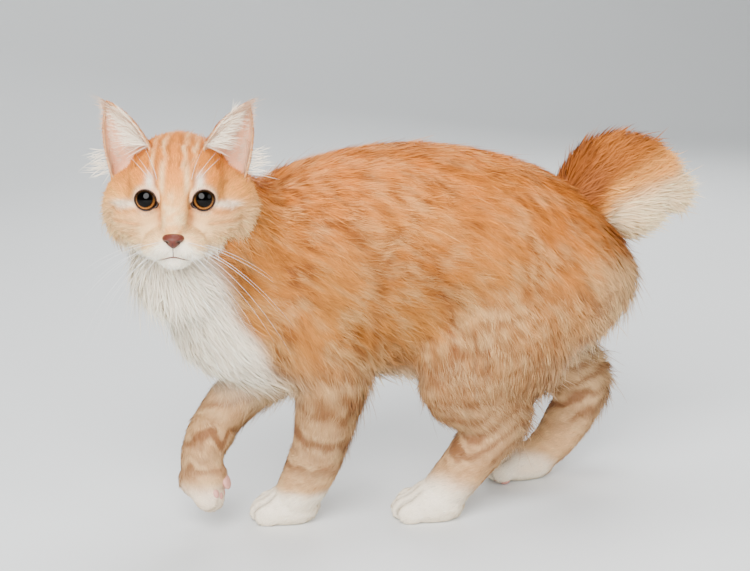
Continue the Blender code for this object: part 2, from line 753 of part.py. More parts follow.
def carve_face(head, cutters):
    """Sockets, openings of the eyes, lids, the line of the mouth and the groove under the nose."""
    for side in (-1, 1):
        socket = eyeball(side, EYE_RADIUS + GAP, "socket", cutters)
        boolean(head, socket, "DIFFERENCE")
        builder = bmesh.new()
        bmesh.ops.create_cone(builder, cap_ends=True, segments=28, radius1=EYE_OPENING * 0.98,
                              radius2=EYE_OPENING * 1.15, depth=0.020)
        bmesh.ops.transform(builder, matrix=eye_place(side) @ Matrix.Translation((0, 0, 0.0145)),
                            verts=builder.verts)
        bmesh.ops.recalc_face_normals(builder, faces=builder.faces)
        boolean(head, object_from(builder, "opening", cutters), "DIFFERENCE")
        rim = opening_points(side, 0.0004, GAP + LID_THICK)
        lids = tube(rim, LID_THICK, "lids", cutters, closed=True)
        boolean(head, lids, "UNION", "MANIFOLD")
    lip = [on_head(x, 0.0590 - 16.0 * x * x - 0.10 * abs(x), -0.0380 + 0.0018 * math.cos(x / 0.0038))
           for x in [k * 0.0030 for k in range(-5, 6)]]
    boolean(head, tube(lip, 0.0011, "mouth", cutters), "DIFFERENCE")
    groove = [on_head(0, y, z) for y, z in ((0.0610, -0.0285), (0.0600, -0.0320), (0.0590, -0.0365))]
    boolean(head, tube(groove, 0.0008, "groove", cutters), "DIFFERENCE")


def nose_pad(collection, cutters):
    """The bare nose: a rounded wedge, wide above, with two nostrils."""
    builder = bmesh.new()
    part = bmesh.new()
    ball(part, (0, 0.0565, -0.0258), (0.0044, 0.0055, 0.0050), segments=16)
    for s in (-1, 1):
        ball(part, (s * 0.0036, 0.0560, -0.0232), (0.0036, 0.0050, 0.0032), segments=16)
    bmesh.ops.transform(part, matrix=head_frame(), verts=part.verts)
    bmesh.ops.recalc_face_normals(part, faces=part.faces)
    merge_into(builder, part)
    nose = soft_form(builder, "nose", collection, 0.0007, 2, 0.06)
    for s in (-1, 1):
        cutter = bmesh.new()
        ball(cutter, (s * 0.0038, 0.0612, -0.0240), (0.0014, 0.0024, 0.0009), segments=10)
        bmesh.ops.transform(cutter, matrix=head_frame(), verts=cutter.verts)
        bmesh.ops.recalc_face_normals(cutter, faces=cutter.faces)
        boolean(nose, object_from(cutter, "nostril", cutters), "DIFFERENCE")
    return nose


def build():
    clear_scene()
    cat = new_collection("karelian_bobtail")
    cutters = new_collection("cutters", hidden=True)

    builder = bmesh.new()
    trunk(builder)
    neck(builder)
    head_masses(builder)
    for rows in (FORELEG_LEFT, FORELEG_RIGHT, HINDLEG_LEFT, HINDLEG_RIGHT):
        limb(builder, rows)
    for rows, flat in ((FOREPAW_LEFT, True), (FOREPAW_RIGHT, False), (HINDPAW_LEFT, True), (HINDPAW_RIGHT, True)):
        paw(builder, rows, flat)
    body = soft_form(builder, "torso", cat, BODY_GRID, 6, 0.052)

    builder = bmesh.new()
    neck(builder)
    trunk(builder)
    head_masses(builder)
    head = soft_form(builder, "head", cat, HEAD_GRID, 36, 0.018)

    floor = half_space((0, 0, 0.0), (0, 0, -1), "floor", cutters)
    boolean(body, floor, "DIFFERENCE")

    pieces = {}
    neck_at = Vector((-0.173, -0.018, 0.250))
    neck_way = Vector((-0.655, -0.45, 0.60)).normalized()
    boolean(head, half_space(neck_at, neck_way, "head_side", cutters), "INTERSECT")
    boolean(body, half_space(neck_at - neck_way * GAP, neck_way, "head_off", cutters), "DIFFERENCE")
    neck_block = half_space((-0.118, 0, 0.270), (-0.91, 0, 0.41), "neck_block", cutters)
    pieces["neck"] = part_with(body, neck_block, "neck", cat, cutters)

    legs = {
        "foreleg_left": leg_cutter(
            ((-0.160, -0.02), (-0.125, 0.108), (-0.130, 0.162), (-0.035, 0.162), (-0.030, 0.108), (-0.030, -0.02)),
            ((-0.02, 0.055), (0.108, -0.004), (0.162, -0.092)), -0.13, "foreleg_left_block", cutters),
        "foreleg_right": leg_cutter(
            ((-0.230, -0.02), (-0.230, 0.100), (-0.160, 0.140), (-0.135, 0.162), (-0.045, 0.162), (-0.040, 0.108),
             (-0.040, -0.02)),
            ((-0.02, -0.060), (0.104, -0.008), (0.162, 0.092)), 0.13, "foreleg_right_block", cutters),
        "hindleg_left": leg_cutter(
            ((-0.060, -0.02), (-0.024, 0.095), (0.050, 0.215), (0.150, 0.215), (0.158, 0.095), (0.150, -0.02)),
            ((-0.02, 0.002), (0.095, -0.003), (0.215, -0.092)), -0.13, "hindleg_left_block", cutters),
        "hindleg_right": leg_cutter(
            ((0.040, -0.02), (0.040, 0.095), (0.075, 0.215), (0.160, 0.215), (0.240, 0.095), (0.240, -0.02)),
            ((-0.02, -0.002), (0.095, 0.004), (0.215, 0.092)), 0.13, "hindleg_right_block", cutters),
    }
    paws = {
        "foreleg_left": ("forepaw_left", (-0.094, 0.0, 0.032), (-0.25, 0, -1)),
        "foreleg_right": ("forepaw_right", (-0.1710, 0.0, 0.050), (0, 0, -1)),
        "hindleg_left": ("hindpaw_left", (0.016, 0.0, 0.026), (-0.75, 0, -1)),
        "hindleg_right": ("hindpaw_right", (0.130, 0.0, 0.022), (-0.75, 0, -1)),
    }
    for name, cutter in legs.items():
        pieces[name] = part_with(body, cutter, name, cat, cutters)
        paw_name, point, way = paws[name]
        block = half_space(point, way, paw_name + "_block", cutters)
        pieces[paw_name] = part_with(pieces[name], block, paw_name, cat, cutters)

    builder = bmesh.new()
    limb(builder, TAIL_CORE, count=18)
    ball(builder, TAIL_BALL, TAIL_RADII)
    tail = soft_form(builder, "tail", cat, BODY_GRID, 3, 0.05)
    tail_locks(tail)
    boolean(tail, grown(body, GAP, cutters), "DIFFERENCE", "MANIFOLD")
    for leg, side, rear in (("hindleg_left", -1, -0.044), ("hindleg_right", 1, 0.042)):
        breech_locks(pieces[leg], side, rear)
        boolean(pieces[leg], grown(body, GAP, cutters), "DIFFERENCE", "MANIFOLD")
    ruff_locks(pieces["neck"])
    boolean(pieces["neck"], half_space(neck_at - neck_way * GAP, neck_way, "neck_edge", cutters), "DIFFERENCE")
    for other in (body, pieces["foreleg_left"], pieces["foreleg_right"]):
        boolean(pieces["neck"], grown(other, GAP, cutters), "DIFFERENCE", "MANIFOLD")
    belly_locks(body)
    for other in ("foreleg_left", "foreleg_right", "hindleg_left", "hindleg_right"):
        boolean(body, grown(pieces[other], GAP, cutters), "DIFFERENCE", "MANIFOLD")

    cheek_locks(head)
    boolean(head, half_space(neck_at + neck_way * GAP, neck_way, "head_edge", cutters), "INTERSECT")
    nose = nose_pad(cat, cutters)
    carve_face(head, cutters)
    boolean(nose, grown(head, GAP, cutters), "DIFFERENCE")
    for side in (-1, 1):
        ear(side, head, cat, cutters)
        eyeball(side, EYE_RADIUS, "eye_left" if side > 0 else "eye_right", cat)

    looks = {
        "coat": new_material("coat", COAT, 0.9),
        "cream": new_material("cream_coat", CREAM, 0.9),
        "eye": new_material("eye", (0.35, 0.18, 0.05), 0.1),
        "nose": new_material("nose_leather", (0.45, 0.20, 0.18), 0.5),
    }
    for obj in cat.objects:
        look = "coat"
        if obj.name.startswith("eye"):
            look = "eye"
        if obj.name == "nose":
            look = "nose"
        if "paw" in obj.name:
            look = "cream"
        obj.data.materials.clear()
        obj.data.materials.append(looks[look])
        tidied(obj)
        obj.data.transform(Matrix.Translation(SHIFT))
        obj.data.shade_smooth()
    for obj in list(cutters.objects):
        bpy.data.objects.remove(obj)


build()
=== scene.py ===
"""Looks of the bobtailed cat: skin, coat of mesh tufts, face, ears, whiskers, floor, lights and camera.

Every place below is in metres from the middle of the trunk, +Z up, the cat walking towards -X and its
left side towards -Y. SHIFT takes it to the row's frame when a mesh is made.
"""

import bpy
import numpy as np
from mathutils import Matrix, Vector

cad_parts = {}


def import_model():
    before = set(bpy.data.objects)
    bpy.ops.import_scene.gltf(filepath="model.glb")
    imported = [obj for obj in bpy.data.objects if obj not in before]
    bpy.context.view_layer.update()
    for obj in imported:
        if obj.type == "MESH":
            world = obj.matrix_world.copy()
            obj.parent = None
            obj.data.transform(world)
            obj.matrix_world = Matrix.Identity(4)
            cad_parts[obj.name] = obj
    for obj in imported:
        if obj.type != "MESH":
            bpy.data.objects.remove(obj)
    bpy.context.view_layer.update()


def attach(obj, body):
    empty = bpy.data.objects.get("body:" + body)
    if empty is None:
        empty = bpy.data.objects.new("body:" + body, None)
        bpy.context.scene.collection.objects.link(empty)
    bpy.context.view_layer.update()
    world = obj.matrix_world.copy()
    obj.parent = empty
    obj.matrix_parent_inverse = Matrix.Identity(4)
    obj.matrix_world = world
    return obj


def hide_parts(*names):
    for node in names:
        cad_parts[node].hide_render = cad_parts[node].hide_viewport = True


SHIFT = np.array((0.0072, 0.0149, 0.0))
RNG = np.random.default_rng(20260)

# The trunk, front to back: x, top, bottom, half the width, all out to the tips of the coat.
TRUNK = np.array((
    (-0.186, 0.224, 0.170, 0.026), (-0.168, 0.248, 0.134, 0.046), (-0.140, 0.266, 0.115, 0.056),
    (-0.110, 0.276, 0.108, 0.060), (-0.080, 0.288, 0.108, 0.061), (-0.040, 0.2970, 0.114, 0.062),
    (0.000, 0.2985, 0.112, 0.065), (0.040, 0.2915, 0.104, 0.068), (0.080, 0.280, 0.102, 0.070),
    (0.115, 0.264, 0.108, 0.069), (0.143, 0.243, 0.119, 0.061), (0.161, 0.226, 0.131, 0.051),
    (0.174, 0.209, 0.143, 0.039),
))
NECK = (
    (-0.085, 0.000, 0.214, 0.057, 0.062), (-0.130, -0.002, 0.220, 0.056, 0.058),
    (-0.158, -0.012, 0.234, 0.053, 0.054), (-0.182, -0.030, 0.256, 0.047, 0.047),
)
BIB = (((-0.164, -0.010, 0.196), (0.035, 0.042, 0.050)), ((-0.191, -0.022, 0.222), (0.035, 0.042, 0.036)))
# Limbs: the middle of a section, half its width across, half its depth.
LIMBS = (
    ((-0.104, -0.030, 0.215, 0.030, 0.046), (-0.094, -0.037, 0.170, 0.029, 0.042),
     (-0.079, -0.038, 0.132, 0.0265, 0.034), (-0.0806, -0.035, 0.108, 0.0240, 0.0285),
     (-0.083, -0.028, 0.082, 0.0215, 0.0250), (-0.0856, -0.019, 0.060, 0.0195, 0.0222),
     (-0.0915, -0.010, 0.038, 0.0190, 0.0205), (-0.098, -0.003, 0.022, 0.0185, 0.0185)),
    ((-0.098, 0.034, 0.205, 0.030, 0.044), (-0.090, 0.038, 0.165, 0.027, 0.038),
     (-0.094, 0.036, 0.130, 0.0245, 0.031), (-0.122, 0.029, 0.109, 0.0215, 0.0240),
     (-0.142, 0.022, 0.096, 0.0198, 0.0215), (-0.160, 0.014, 0.079, 0.0184, 0.0195),
     (-0.1700, 0.008, 0.063, 0.0170, 0.0175), (-0.1712, 0.005, 0.046, 0.0170, 0.0172)),
    ((0.098, -0.030, 0.190, 0.036, 0.050), (0.066, -0.040, 0.156, 0.037, 0.062),
     (0.036, -0.046, 0.124, 0.031, 0.052), (0.045, -0.047, 0.099, 0.0255, 0.0400),
     (0.050, -0.045, 0.079, 0.0225, 0.0340), (0.041, -0.042, 0.058, 0.0205, 0.0215),
     (0.0285, -0.038, 0.040, 0.0195, 0.0195), (0.0150, -0.034, 0.023, 0.0190, 0.0180)),
    ((0.108, 0.030, 0.190, 0.036, 0.050), (0.110, 0.040, 0.156, 0.035, 0.050),
     (0.124, 0.043, 0.126, 0.031, 0.042), (0.152, 0.040, 0.100, 0.0250, 0.033),
     (0.172, 0.037, 0.078, 0.0215, 0.0255), (0.160, 0.035, 0.052, 0.0195, 0.0215),
     (0.143, 0.033, 0.031, 0.0185, 0.0180), (0.127, 0.033, 0.018, 0.0175, 0.0150)),
)
# Paws: heel, toe tips, half the width at the toes, height at the knuckles, and the way across.
PAWS = (
    ((-0.096, 0.000, 0.0160), (-0.1200, 0.010, 0.0090), 0.0205, 0.0170, (0, 1, 0)),
    ((-0.1715, 0.004, 0.044), (-0.1670, 0.001, 0.0285), 0.0185, 0.0180, (0.45, 0.89, 0)),
    ((0.014, -0.033, 0.0160), (-0.0130, -0.024, 0.0090), 0.0210, 0.0175, (0, 1, 0)),
    ((0.126, 0.033, 0.016), (0.090, 0.036, 0.0095), 0.0195, 0.0155, (0, 1, 0)),
)
TAIL = (
    (0.126, 0.0, 0.214, 0.027, 0.027), (0.146, 0.0, 0.243, 0.032, 0.032), (0.168, 0.0, 0.262, 0.034, 0.034),
    (0.193, 0.0, 0.262, 0.031, 0.031), (0.212, 0.0, 0.248, 0.022, 0.022),
)
TAIL_BALL = ((0.186, 0.0, 0.247), (0.043, 0.031, 0.038))

# The head: where the middle of the skull is, and which way it looks.
HEAD_AT = np.array((-0.1975, -0.046, 0.2785))
HEAD_YAW, HEAD_ROLL = np.radians(-18.0), np.radians(0.5)
EYE_SPREAD, EYE_FORWARD, EYE_RADIUS, EYE_OPENING = 0.0190, 0.0285, 0.0108, 0.0076
EYE_TURN, EYE_TILT, EYE_CORNER = np.radians(9.0), np.radians(4.0), np.radians(206)
EAR_INNER, EAR_OUTER, EAR_TIP = (0.0200, 0.010, 0.0340), (0.0478, -0.006, 0.0100), (0.0508, -0.006, 0.0640)
EAR_DEPTH, EAR_SWELL, EAR_ROOT, EAR_END = 0.018, 0.0035, 0.20, 0.965

# Colours of the coat, DEEP also for painted shade; the legs are greyer than the trunk.
LEG, BAR = (0.52, 0.280, 0.125), (0.22, 0.080, 0.027)
ORANGE, DEEP, PALE = (0.66, 0.210, 0.026), (0.26, 0.070, 0.010), (0.80, 0.350, 0.080)
CREAM, WHITE, PINK = (0.88, 0.620, 0.310), (0.92, 0.820, 0.660), (0.82, 0.340, 0.230)

# Upright folds of the flank's skin, sunk and darkened by painted shade: x, bottom, top, width and strength.
FOLDS = (
    (-0.050, 0.125, 0.225, 0.0042, 1.0), (-0.031, 0.12, 0.20, 0.0036, 0.55),
    (-0.013, 0.13, 0.21, 0.0036, 0.40), (0.006, 0.115, 0.18, 0.0045, 0.45),
)

# The grids that the skins are wrapped on, and the least heights of skin and hair over the floor.
BODY_GRID, HEAD_GRID, TAIL_GRID, PAW_GRID = 0.0033, 0.0014, 0.0030, 0.0018
SKIN_FLOOR, HAIR_FLOOR, PAD_FLOOR = 0.0006, 0.0004, 0.0002

# A blade has two points at each of three places along it and one at its tip; a piece has at most MOST_TUFTS.
BLADE_POINTS = 7
STEPS = np.array((0.0, 0.34, 0.70, 1.0))
BLADE_S = np.repeat(STEPS, 2)[:BLADE_POINTS]
BLADE_SIDE = np.array((-1, 1, -1, 1, -1, 1, 0))
PROFILE = np.array((0.62, 1.0, 0.72))
MOST_TUFTS = 39000

# Layers of the coat: count of tufts, their width, and how much longer and steeper than the coat they are.
BODY_LAYERS = {"coat_under": (105000, 0.00082, 0.92, 1.0), "coat_over": (62000, 0.00040, 1.12, 1.30)}
FACE_LAYERS = {"face_under": (36000, 0.00052, 1.0, 1.0), "face_over": (22000, 0.00030, 1.18, 1.3)}
# On each foot and on the tail: count and width.
PAW_LAYERS = {"paw_under": (3400, 0.00056), "paw_over": (2000, 0.00034)}
TAIL_LAYERS = {"tail_under": (15000, 0.00110), "tail_over": (10000, 0.00050)}

# Boxes on the map for baking: corner, width and height, for the trunk, neck, bib, limbs and paws in turn.
MAPS = (
    (0.01, 0.01, 0.55, 0.40), (0.01, 0.43, 0.20, 0.30), (0.22, 0.43, 0.14, 0.30),
    (0.37, 0.43, 0.14, 0.30), (0.58, 0.01, 0.19, 0.18), (0.79, 0.01, 0.19, 0.18),
    (0.58, 0.20, 0.19, 0.20), (0.79, 0.20, 0.19, 0.20), (0.53, 0.42, 0.10, 0.14),
    (0.64, 0.42, 0.10, 0.14), (0.75, 0.42, 0.10, 0.14), (0.86, 0.42, 0.10, 0.14),
)
PAW_MAPS = MAPS[8:]
HEAD_BOX, TAIL_BOX, EAR_BOX = (0.01, 0.75, 0.42, 0.24), (0.45, 0.75, 0.26, 0.24), (0.73, 0.60, 0.25, 0.38)
TUFT_PATCH = 0.003

# Plain looks: roughness, colour, and the scale, amount and bump of the fine variation.
PLAIN_LOOKS = {
    "lid_skin": (0.38, (0.026, 0.012, 0.008), 1500.0, 0.4, 0.3),
    "lip_skin": (0.5, (0.13, 0.060, 0.042), 1500.0, 0.4, 0.3),
    "pad_skin": (0.6, (0.62, 0.30, 0.24), 1200.0, 0.3, 0.5),
    "whisker_white": (0.35, (0.90, 0.88, 0.84), 400.0, 0.1, 0.0),
    "studio_floor": (0.75, (0.74, 0.76, 0.76), 3.0, 0.05, 0.0),
}

# The camera: bearing from square to the left side, angle above level, distance, aim and focal length.
CAMERA_TURN, CAMERA_RISE, CAMERA_FAR = np.radians(-20.0), np.radians(13.0), 1.5
CAMERA_AIM, CAMERA_LENS, CAMERA_SENSOR = (0.0, 0.085, 0.165), 86.4, 36.0
# Lamps: place, diameter and power. They are turned to LAMP_AIM.
LAMP_AIM = (0.0, 0.0, 0.16)
LAMPS = {
    "key_lamp": ((-1.05, -1.75, 1.45), 1.9, 158.0),
    "fill_lamp": ((1.35, -1.55, 1.00), 1.2, 13.0),
    "top_lamp": ((0.10, 0.30, 1.90), 1.2, 26.0),
    "rim_lamp": ((0.75, 1.50, 0.90), 0.8, 12.0),
}


def unit(v):
    """Vectors of length 1."""
    return v / np.maximum(np.linalg.norm(v, axis=-1, keepdims=True), 1e-9)


def dot(a, b):
    """The dot product over the last axis."""
    return (a * b).sum(-1)


def smooth(low, high, x):
    """0 below low, 1 above high, and an S between; also the other way round."""
    t = np.clip((x - low) / (high - low), 0, 1)
    return t * t * (3 - 2 * t)


def mix(a, b, share):
    """Colours or points from a to b, by share."""
    share = np.asarray(share)[..., None]
    return np.asarray(a) * (1 - share) + np.asarray(b) * share


def ridge(value, middle, wide):
    """A soft line: 1 where value is middle, falling off over wide."""
    return np.exp(-((value - middle) / wide) ** 2)


def noise(points, cell, seed=0):
    """Smooth random numbers from 0 to 1: the eight corners' hashed values of a lattice cell, blended."""
    q = points / cell + seed * 17.31
    low = np.floor(q).astype(np.int64)
    part = q - low
    part = part * part * (3 - 2 * part)
    total = np.zeros(len(points))
    for corner in np.ndindex(2, 2, 2):
        at = low + np.array(corner)
        key = at[:, 0] * 374761393 + at[:, 1] * 668265263 + at[:, 2] * 362437 + seed * 1442695
        key = (key ^ (key >> 13)) * 1274126177
        key ^= key >> 16
        share = np.where(corner, part, 1 - part).prod(1)
        total += share * ((key & 0xFFFF) / 65535)
    return total


def head_turn():
    """The turn from the head's own axes, x to its left, y forwards and z up, to the trunk's."""
    turn = Matrix.Rotation(HEAD_YAW, 3, "Z") @ Matrix.Rotation(HEAD_ROLL, 3, "Y")
    return np.array(turn) @ np.diag((1.0, -1.0, 1.0))


HEAD_TURN = head_turn()


def from_head(q):
    """Places given on the head's own axes, brought to the trunk's."""
    return np.asarray(q) @ HEAD_TURN.T + HEAD_AT


def spine(rows, side=(0, 1, 0), steps=4):
    """A smooth curve through rows: its places, directions, half sizes and share of the way.

    Between two rows it is the cubic that passes through both, with a slope at each of them that is half
    the step from the row before it to the row after it.
    """
    rows = np.asarray(rows, float)
    last = len(rows) - 1
    t = np.linspace(0, last, last * steps + 1)
    i = np.minimum(t.astype(int), last - 1)
    u = (t - i)[:, None]
    p, q, r, s = (rows[np.clip(i + k, 0, last)] for k in (-1, 0, 1, 2))
    at = 0.5 * (2 * q + (r - p) * u + (2 * p - 5 * q + 4 * r - s) * u ** 2 + (3 * q - p - 3 * r + s) * u ** 3)
    way = unit(np.gradient(at[:, :3], axis=0))
    side = np.asarray(side, float)
    across = unit(side - way * (way @ side)[:, None])
    return {"at": at[:, :3], "way": way, "across": across, "along": np.cross(way, across),
            "a": at[:, 3], "b": at[:, 4], "t": t / last}


def closed_rings(rings, first, last):
    """A closed surface through rings of points, with a pole at each end, its faces looking out."""
    count, size = rings.shape[:2]
    points = np.concatenate((rings.reshape(-1, 3), [first, last]))
    k = np.arange(size)
    n = (k + 1) % size
    base = (np.arange(count - 1) * size)[:, None]
    quads = np.stack((base + k, base + n, base + size + n, base + size + k), -1).reshape(-1, 4)
    top = (count - 1) * size
    tris = np.concatenate((
        np.stack((n, k, np.full(size, count * size)), -1),
        np.stack((top + k, top + n, np.full(size, count * size + 1)), -1),
    ))
    corners = points[tris]
    volume = np.linalg.det(corners - points.mean(0)).sum()
    middle = points[quads[:, :3]] - points.mean(0)
    volume += 2 * np.linalg.det(middle).sum()
    if volume < 0:
        quads, tris = quads[:, ::-1], tris[:, ::-1]
    return points, quads, tris


def loft(path, count=24, bulge=1.0):
    """A surface of ellipses square to a path, with rounded ends.

    A ring is middle + a cos(angle) across + b sin(angle) along. Past each end of the path lie two smaller
    rings and a pole, pushed out by shares of a times bulge.
    """
    angle = np.linspace(0, 2 * np.pi, count, endpoint=False)
    ends = np.array(((0.90, 0.44), (0.55, 0.83))) * (bulge, 1.0)
    take = np.concatenate(([0, 0], np.arange(len(path["t"])), [-1, -1]))
    push = np.zeros(len(take))
    share = np.ones(len(take))
    push[:2], share[:2] = -ends[:, 0], ends[:, 1]
    push[-2:], share[-2:] = ends[::-1, 0], ends[::-1, 1]
    at, way = path["at"][take], path["way"][take]
    a, b = path["a"][take], path["b"][take]
    middle = at + way * (push * a)[:, None]
    rings = (middle[:, None]
             + path["across"][take][:, None] * ((a * share)[:, None] * np.cos(angle))[..., None]
             + path["along"][take][:, None] * ((b * share)[:, None] * np.sin(angle))[..., None])
    return closed_rings(rings, at[0] - way[0] * a[0] * bulge, at[-1] + way[-1] * a[-1] * bulge)


def ellipsoid(middle, radii, turn=None, count=24):
    """middle + turn (radii times (sin rise cos angle, sin rise sin angle, cos rise)): a turned ellipsoid."""
    turn = np.eye(3) if turn is None else turn
    rise = np.linspace(0, np.pi, count // 2 + 1)[1:-1]
    angle = np.linspace(0, 2 * np.pi, count, endpoint=False)
    ball = np.stack((np.sin(rise)[:, None] * np.cos(angle), np.sin(rise)[:, None] * np.sin(angle),
                     np.repeat(np.cos(rise)[:, None], count, 1)), -1)
    middle, radii = np.asarray(middle), np.asarray(radii)
    poles = [middle + turn @ (radii * (0, 0, s)) for s in (1, -1)]
    return closed_rings(middle + (ball * radii) @ turn.T, *poles)


def joined(parts):
    """Several surfaces as one set of arrays."""
    starts = np.cumsum([0] + [len(p[0]) for p in parts[:-1]])
    return (np.concatenate([p[0] for p in parts]),
            np.concatenate([p[1] + s for p, s in zip(parts, starts)]),
            np.concatenate([p[2] + s for p, s in zip(parts, starts)]))


def fill_mesh(mesh, points, quads, tris):
    """Writes whole arrays of points and faces into a mesh."""
    mesh.vertices.add(len(points))
    mesh.vertices.foreach_set("co", np.asarray(points, np.float32).ravel())
    corners = np.concatenate((quads.ravel(), tris.ravel())).astype(np.int32)
    mesh.loops.add(len(corners))
    mesh.loops.foreach_set("vertex_index", corners)
    starts = np.concatenate((np.arange(len(quads)) * 4, len(quads) * 4 + np.arange(len(tris)) * 3))
    mesh.polygons.add(len(starts))
    mesh.polygons.foreach_set("loop_start", starts.astype(np.int32))
    mesh.update(calc_edges=True)
    mesh.shade_smooth()


NO_QUADS, NO_TRIS = np.empty((0, 4), int), np.empty((0, 3), int)


def piece(name, points, quads=NO_QUADS, tris=NO_TRIS, look=None, slot="coat", colour=None, fields=None,
          normals=None, shift=True):
    """One finished object at the origin, with its colours and other values kept as attributes."""
    mesh = bpy.data.meshes.new(name)
    fill_mesh(mesh, np.asarray(points) + (SHIFT if shift else 0), quads, tris)
    if colour is not None:
        rgba = np.ones((len(points), 4), np.float32)
        rgba[:, :3] = np.clip(colour, 0, 1)
        layer = mesh.color_attributes.new("coat_colour", "FLOAT_COLOR", "POINT")
        layer.data.foreach_set("color", rgba.ravel())
    for key, value in (fields or {}).items():
        layer = mesh.attributes.new(key, "FLOAT_VECTOR", "POINT")
        layer.data.foreach_set("vector", np.asarray(value, np.float32).ravel())
    if normals is not None:
        layer = mesh.attributes.new("custom_normal", "FLOAT_VECTOR", "POINT")
        layer.data.foreach_set("vector", np.asarray(normals, np.float32).ravel())
    obj = bpy.data.objects.new(name, mesh)
    bpy.context.scene.collection.objects.link(obj)
    mesh.materials.append(look)
    if slot:
        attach(obj, "root")
    return obj


def wrapped(parts, grid, rounds):
    """One closed skin round overlapping surfaces, by a voxel remesh and a smooth: points, normals, quads."""
    mesh = bpy.data.meshes.new("masses")
    fill_mesh(mesh, *joined(parts))
    obj = bpy.data.objects.new("masses", mesh)
    bpy.context.scene.collection.objects.link(obj)
    wrap = obj.modifiers.new("Remesh", "REMESH")
    wrap.mode = "VOXEL"
    wrap.voxel_size = grid
    soft = obj.modifiers.new("Smooth", "SMOOTH")
    soft.factor = 0.5
    soft.iterations = rounds
    graph = bpy.context.evaluated_depsgraph_get()
    done = bpy.data.meshes.new_from_object(obj.evaluated_get(graph))
    bpy.data.objects.remove(obj)
    points = np.empty(len(done.vertices) * 3, np.float32)
    done.vertices.foreach_get("co", points)
    quads = np.empty(len(done.loops), np.int32)
    done.loops.foreach_get("vertex_index", quads)
    bpy.data.meshes.remove(done)
    points, quads = points.reshape(-1, 3).astype(float), quads.reshape(-1, 4)
    return points, vertex_normals(points, quads), quads


def vertex_normals(points, quads):
    """Each point's normal: the sum of those of the faces round it."""
    corners = points[quads]
    face = np.cross(corners[:, 2] - corners[:, 0], corners[:, 3] - corners[:, 1])
    total = np.zeros_like(points)
    for k in range(4):
        for axis in range(3):
            total[:, axis] += np.bincount(quads[:, k], face[:, axis], len(points))
    return unit(total)


def nearness(path, points):
    """How far points are from a path's surface, 1 on it, and the nearest place's number."""
    best = np.full(len(points), 1e9)
    which = np.zeros(len(points), int)
    middle = 0.5 * (path["a"] + path["b"])
    for i in range(len(path["t"])):
        off = points - path["at"][i]
        far = ((off @ path["across"][i]) / path["a"][i]) ** 2 + ((off @ path["along"][i]) / path["b"][i]) ** 2
        far += ((off @ path["way"][i]) / middle[i]) ** 2
        near = far < best
        best[near] = far[near]
        which[near] = i
    return np.sqrt(best), which


def ball_nearness(middle, radii, points):
    """How far points are from an ellipsoid's surface, 1 on it."""
    return np.linalg.norm((points - middle) / radii, axis=1)


def laid(way, normals):
    """A direction laid on the surface: without its part along the normal, and of length 1."""
    return unit(way - normals * dot(way, normals)[:, None])


def grid_quads(rows, columns):
    """The faces between the points of a grid."""
    i = np.arange(rows * columns).reshape(rows, columns)
    return np.stack((i[:-1, :-1], i[:-1, 1:], i[1:, 1:], i[1:, :-1]), -1).reshape(-1, 4)


TRUNK_PATH = spine(np.stack((TRUNK[:, 0], 0 * TRUNK[:, 0], (TRUNK[:, 1] + TRUNK[:, 2]) / 2, TRUNK[:, 3],
                             (TRUNK[:, 1] - TRUNK[:, 2]) / 2), 1), steps=3)
NECK_PATH = spine(NECK)
LIMB_PATHS = [spine(rows) for rows in LIMBS]
TAIL_PATH = spine(TAIL)


def paw_axes(paw):
    """A foot's heel and toes, and three directions: ahead, across and out of its back."""
    heel, toes = np.array(paw[:2])
    ahead = unit(toes - heel)
    side = unit(np.array(paw[4], float))
    side = unit(side - ahead * (side @ ahead))
    up = np.cross(ahead, side)
    # The back of a foot faces up, or forwards where the foot hangs.
    return heel, toes, ahead, side, up if up[2] > 0.75 * up[0] else -up


def paw_path(paw):
    """The path of a foot's own mass, from its heel to its toes."""
    heel, toes, _, side, _ = paw_axes(paw)
    half, height = paw[2:4]
    return spine(((*heel, half * 0.93, height * 1.15), (*((heel + toes) * 0.5), half * 0.98, height),
                  (*(heel * 0.15 + toes * 0.85), half * 0.86, height * 0.72)), side=side)


def toe_places(paw, spread, reach):
    """The middles of a foot's four toes in a row, the outer two further back."""
    _, toes, ahead, side, _ = paw_axes(paw)
    across = (np.arange(4) - 1.5) / 1.5
    return (toes + side * (across * paw[2] * spread)[:, None]
            - ahead * (0.0055 * np.abs(across) - reach)[:, None])


PAW_PATHS = [paw_path(paw) for paw in PAWS]


def paw_masses(paw, path):
    """A foot with four toes that stand a little apart."""
    half, height = paw[2:4]
    turn = np.stack(paw_axes(paw)[2:], 1)
    radii = (height * 0.74, half * 0.275, height * 0.60)
    return [loft(path)] + [ellipsoid(at, radii, turn, 16) for at in toe_places(paw, 0.70, 0.0012)]


def paw_skin(k):
    """A foot's own finer skin, with the leg's end: toes parted by grooves, sunk by its short coat."""
    paw = PAWS[k]
    heel, toes, ahead, side, up = paw_axes(paw)
    parts = paw_masses(paw, PAW_PATHS[k]) + [loft(spine(LIMBS[k][-3:]))]
    points, normals, quads = wrapped(parts, PAW_GRID, 6)
    off = points - toes
    across, run = off @ side / paw[2], off @ ahead
    groove = sum(ridge(across, at, 0.075) for at in (-0.467, 0.0, 0.467)) * smooth(-0.019, -0.006, run)
    groove = groove * smooth(-0.010, 0.0, off @ up)
    points = points - normals * (0.0009 + 0.0021 * groove)[:, None]
    points[:, 2] = np.maximum(points[:, 2], SKIN_FLOOR)
    way = laid(ahead - up * (0.9 * smooth(-0.012, 0.004, run))[:, None], normals)
    off = points - heel
    leg = smooth(-0.002, -0.020, off @ ahead - 0.6 * np.maximum(off @ up, 0))
    size = len(points)
    return points, quads, {"way": way, "length": 0.0036 + 0.0018 * leg, "lift": np.full(size, 0.20),
                           "limb": np.full(size, 0.3), "paw": np.ones(size), "groove": groove}


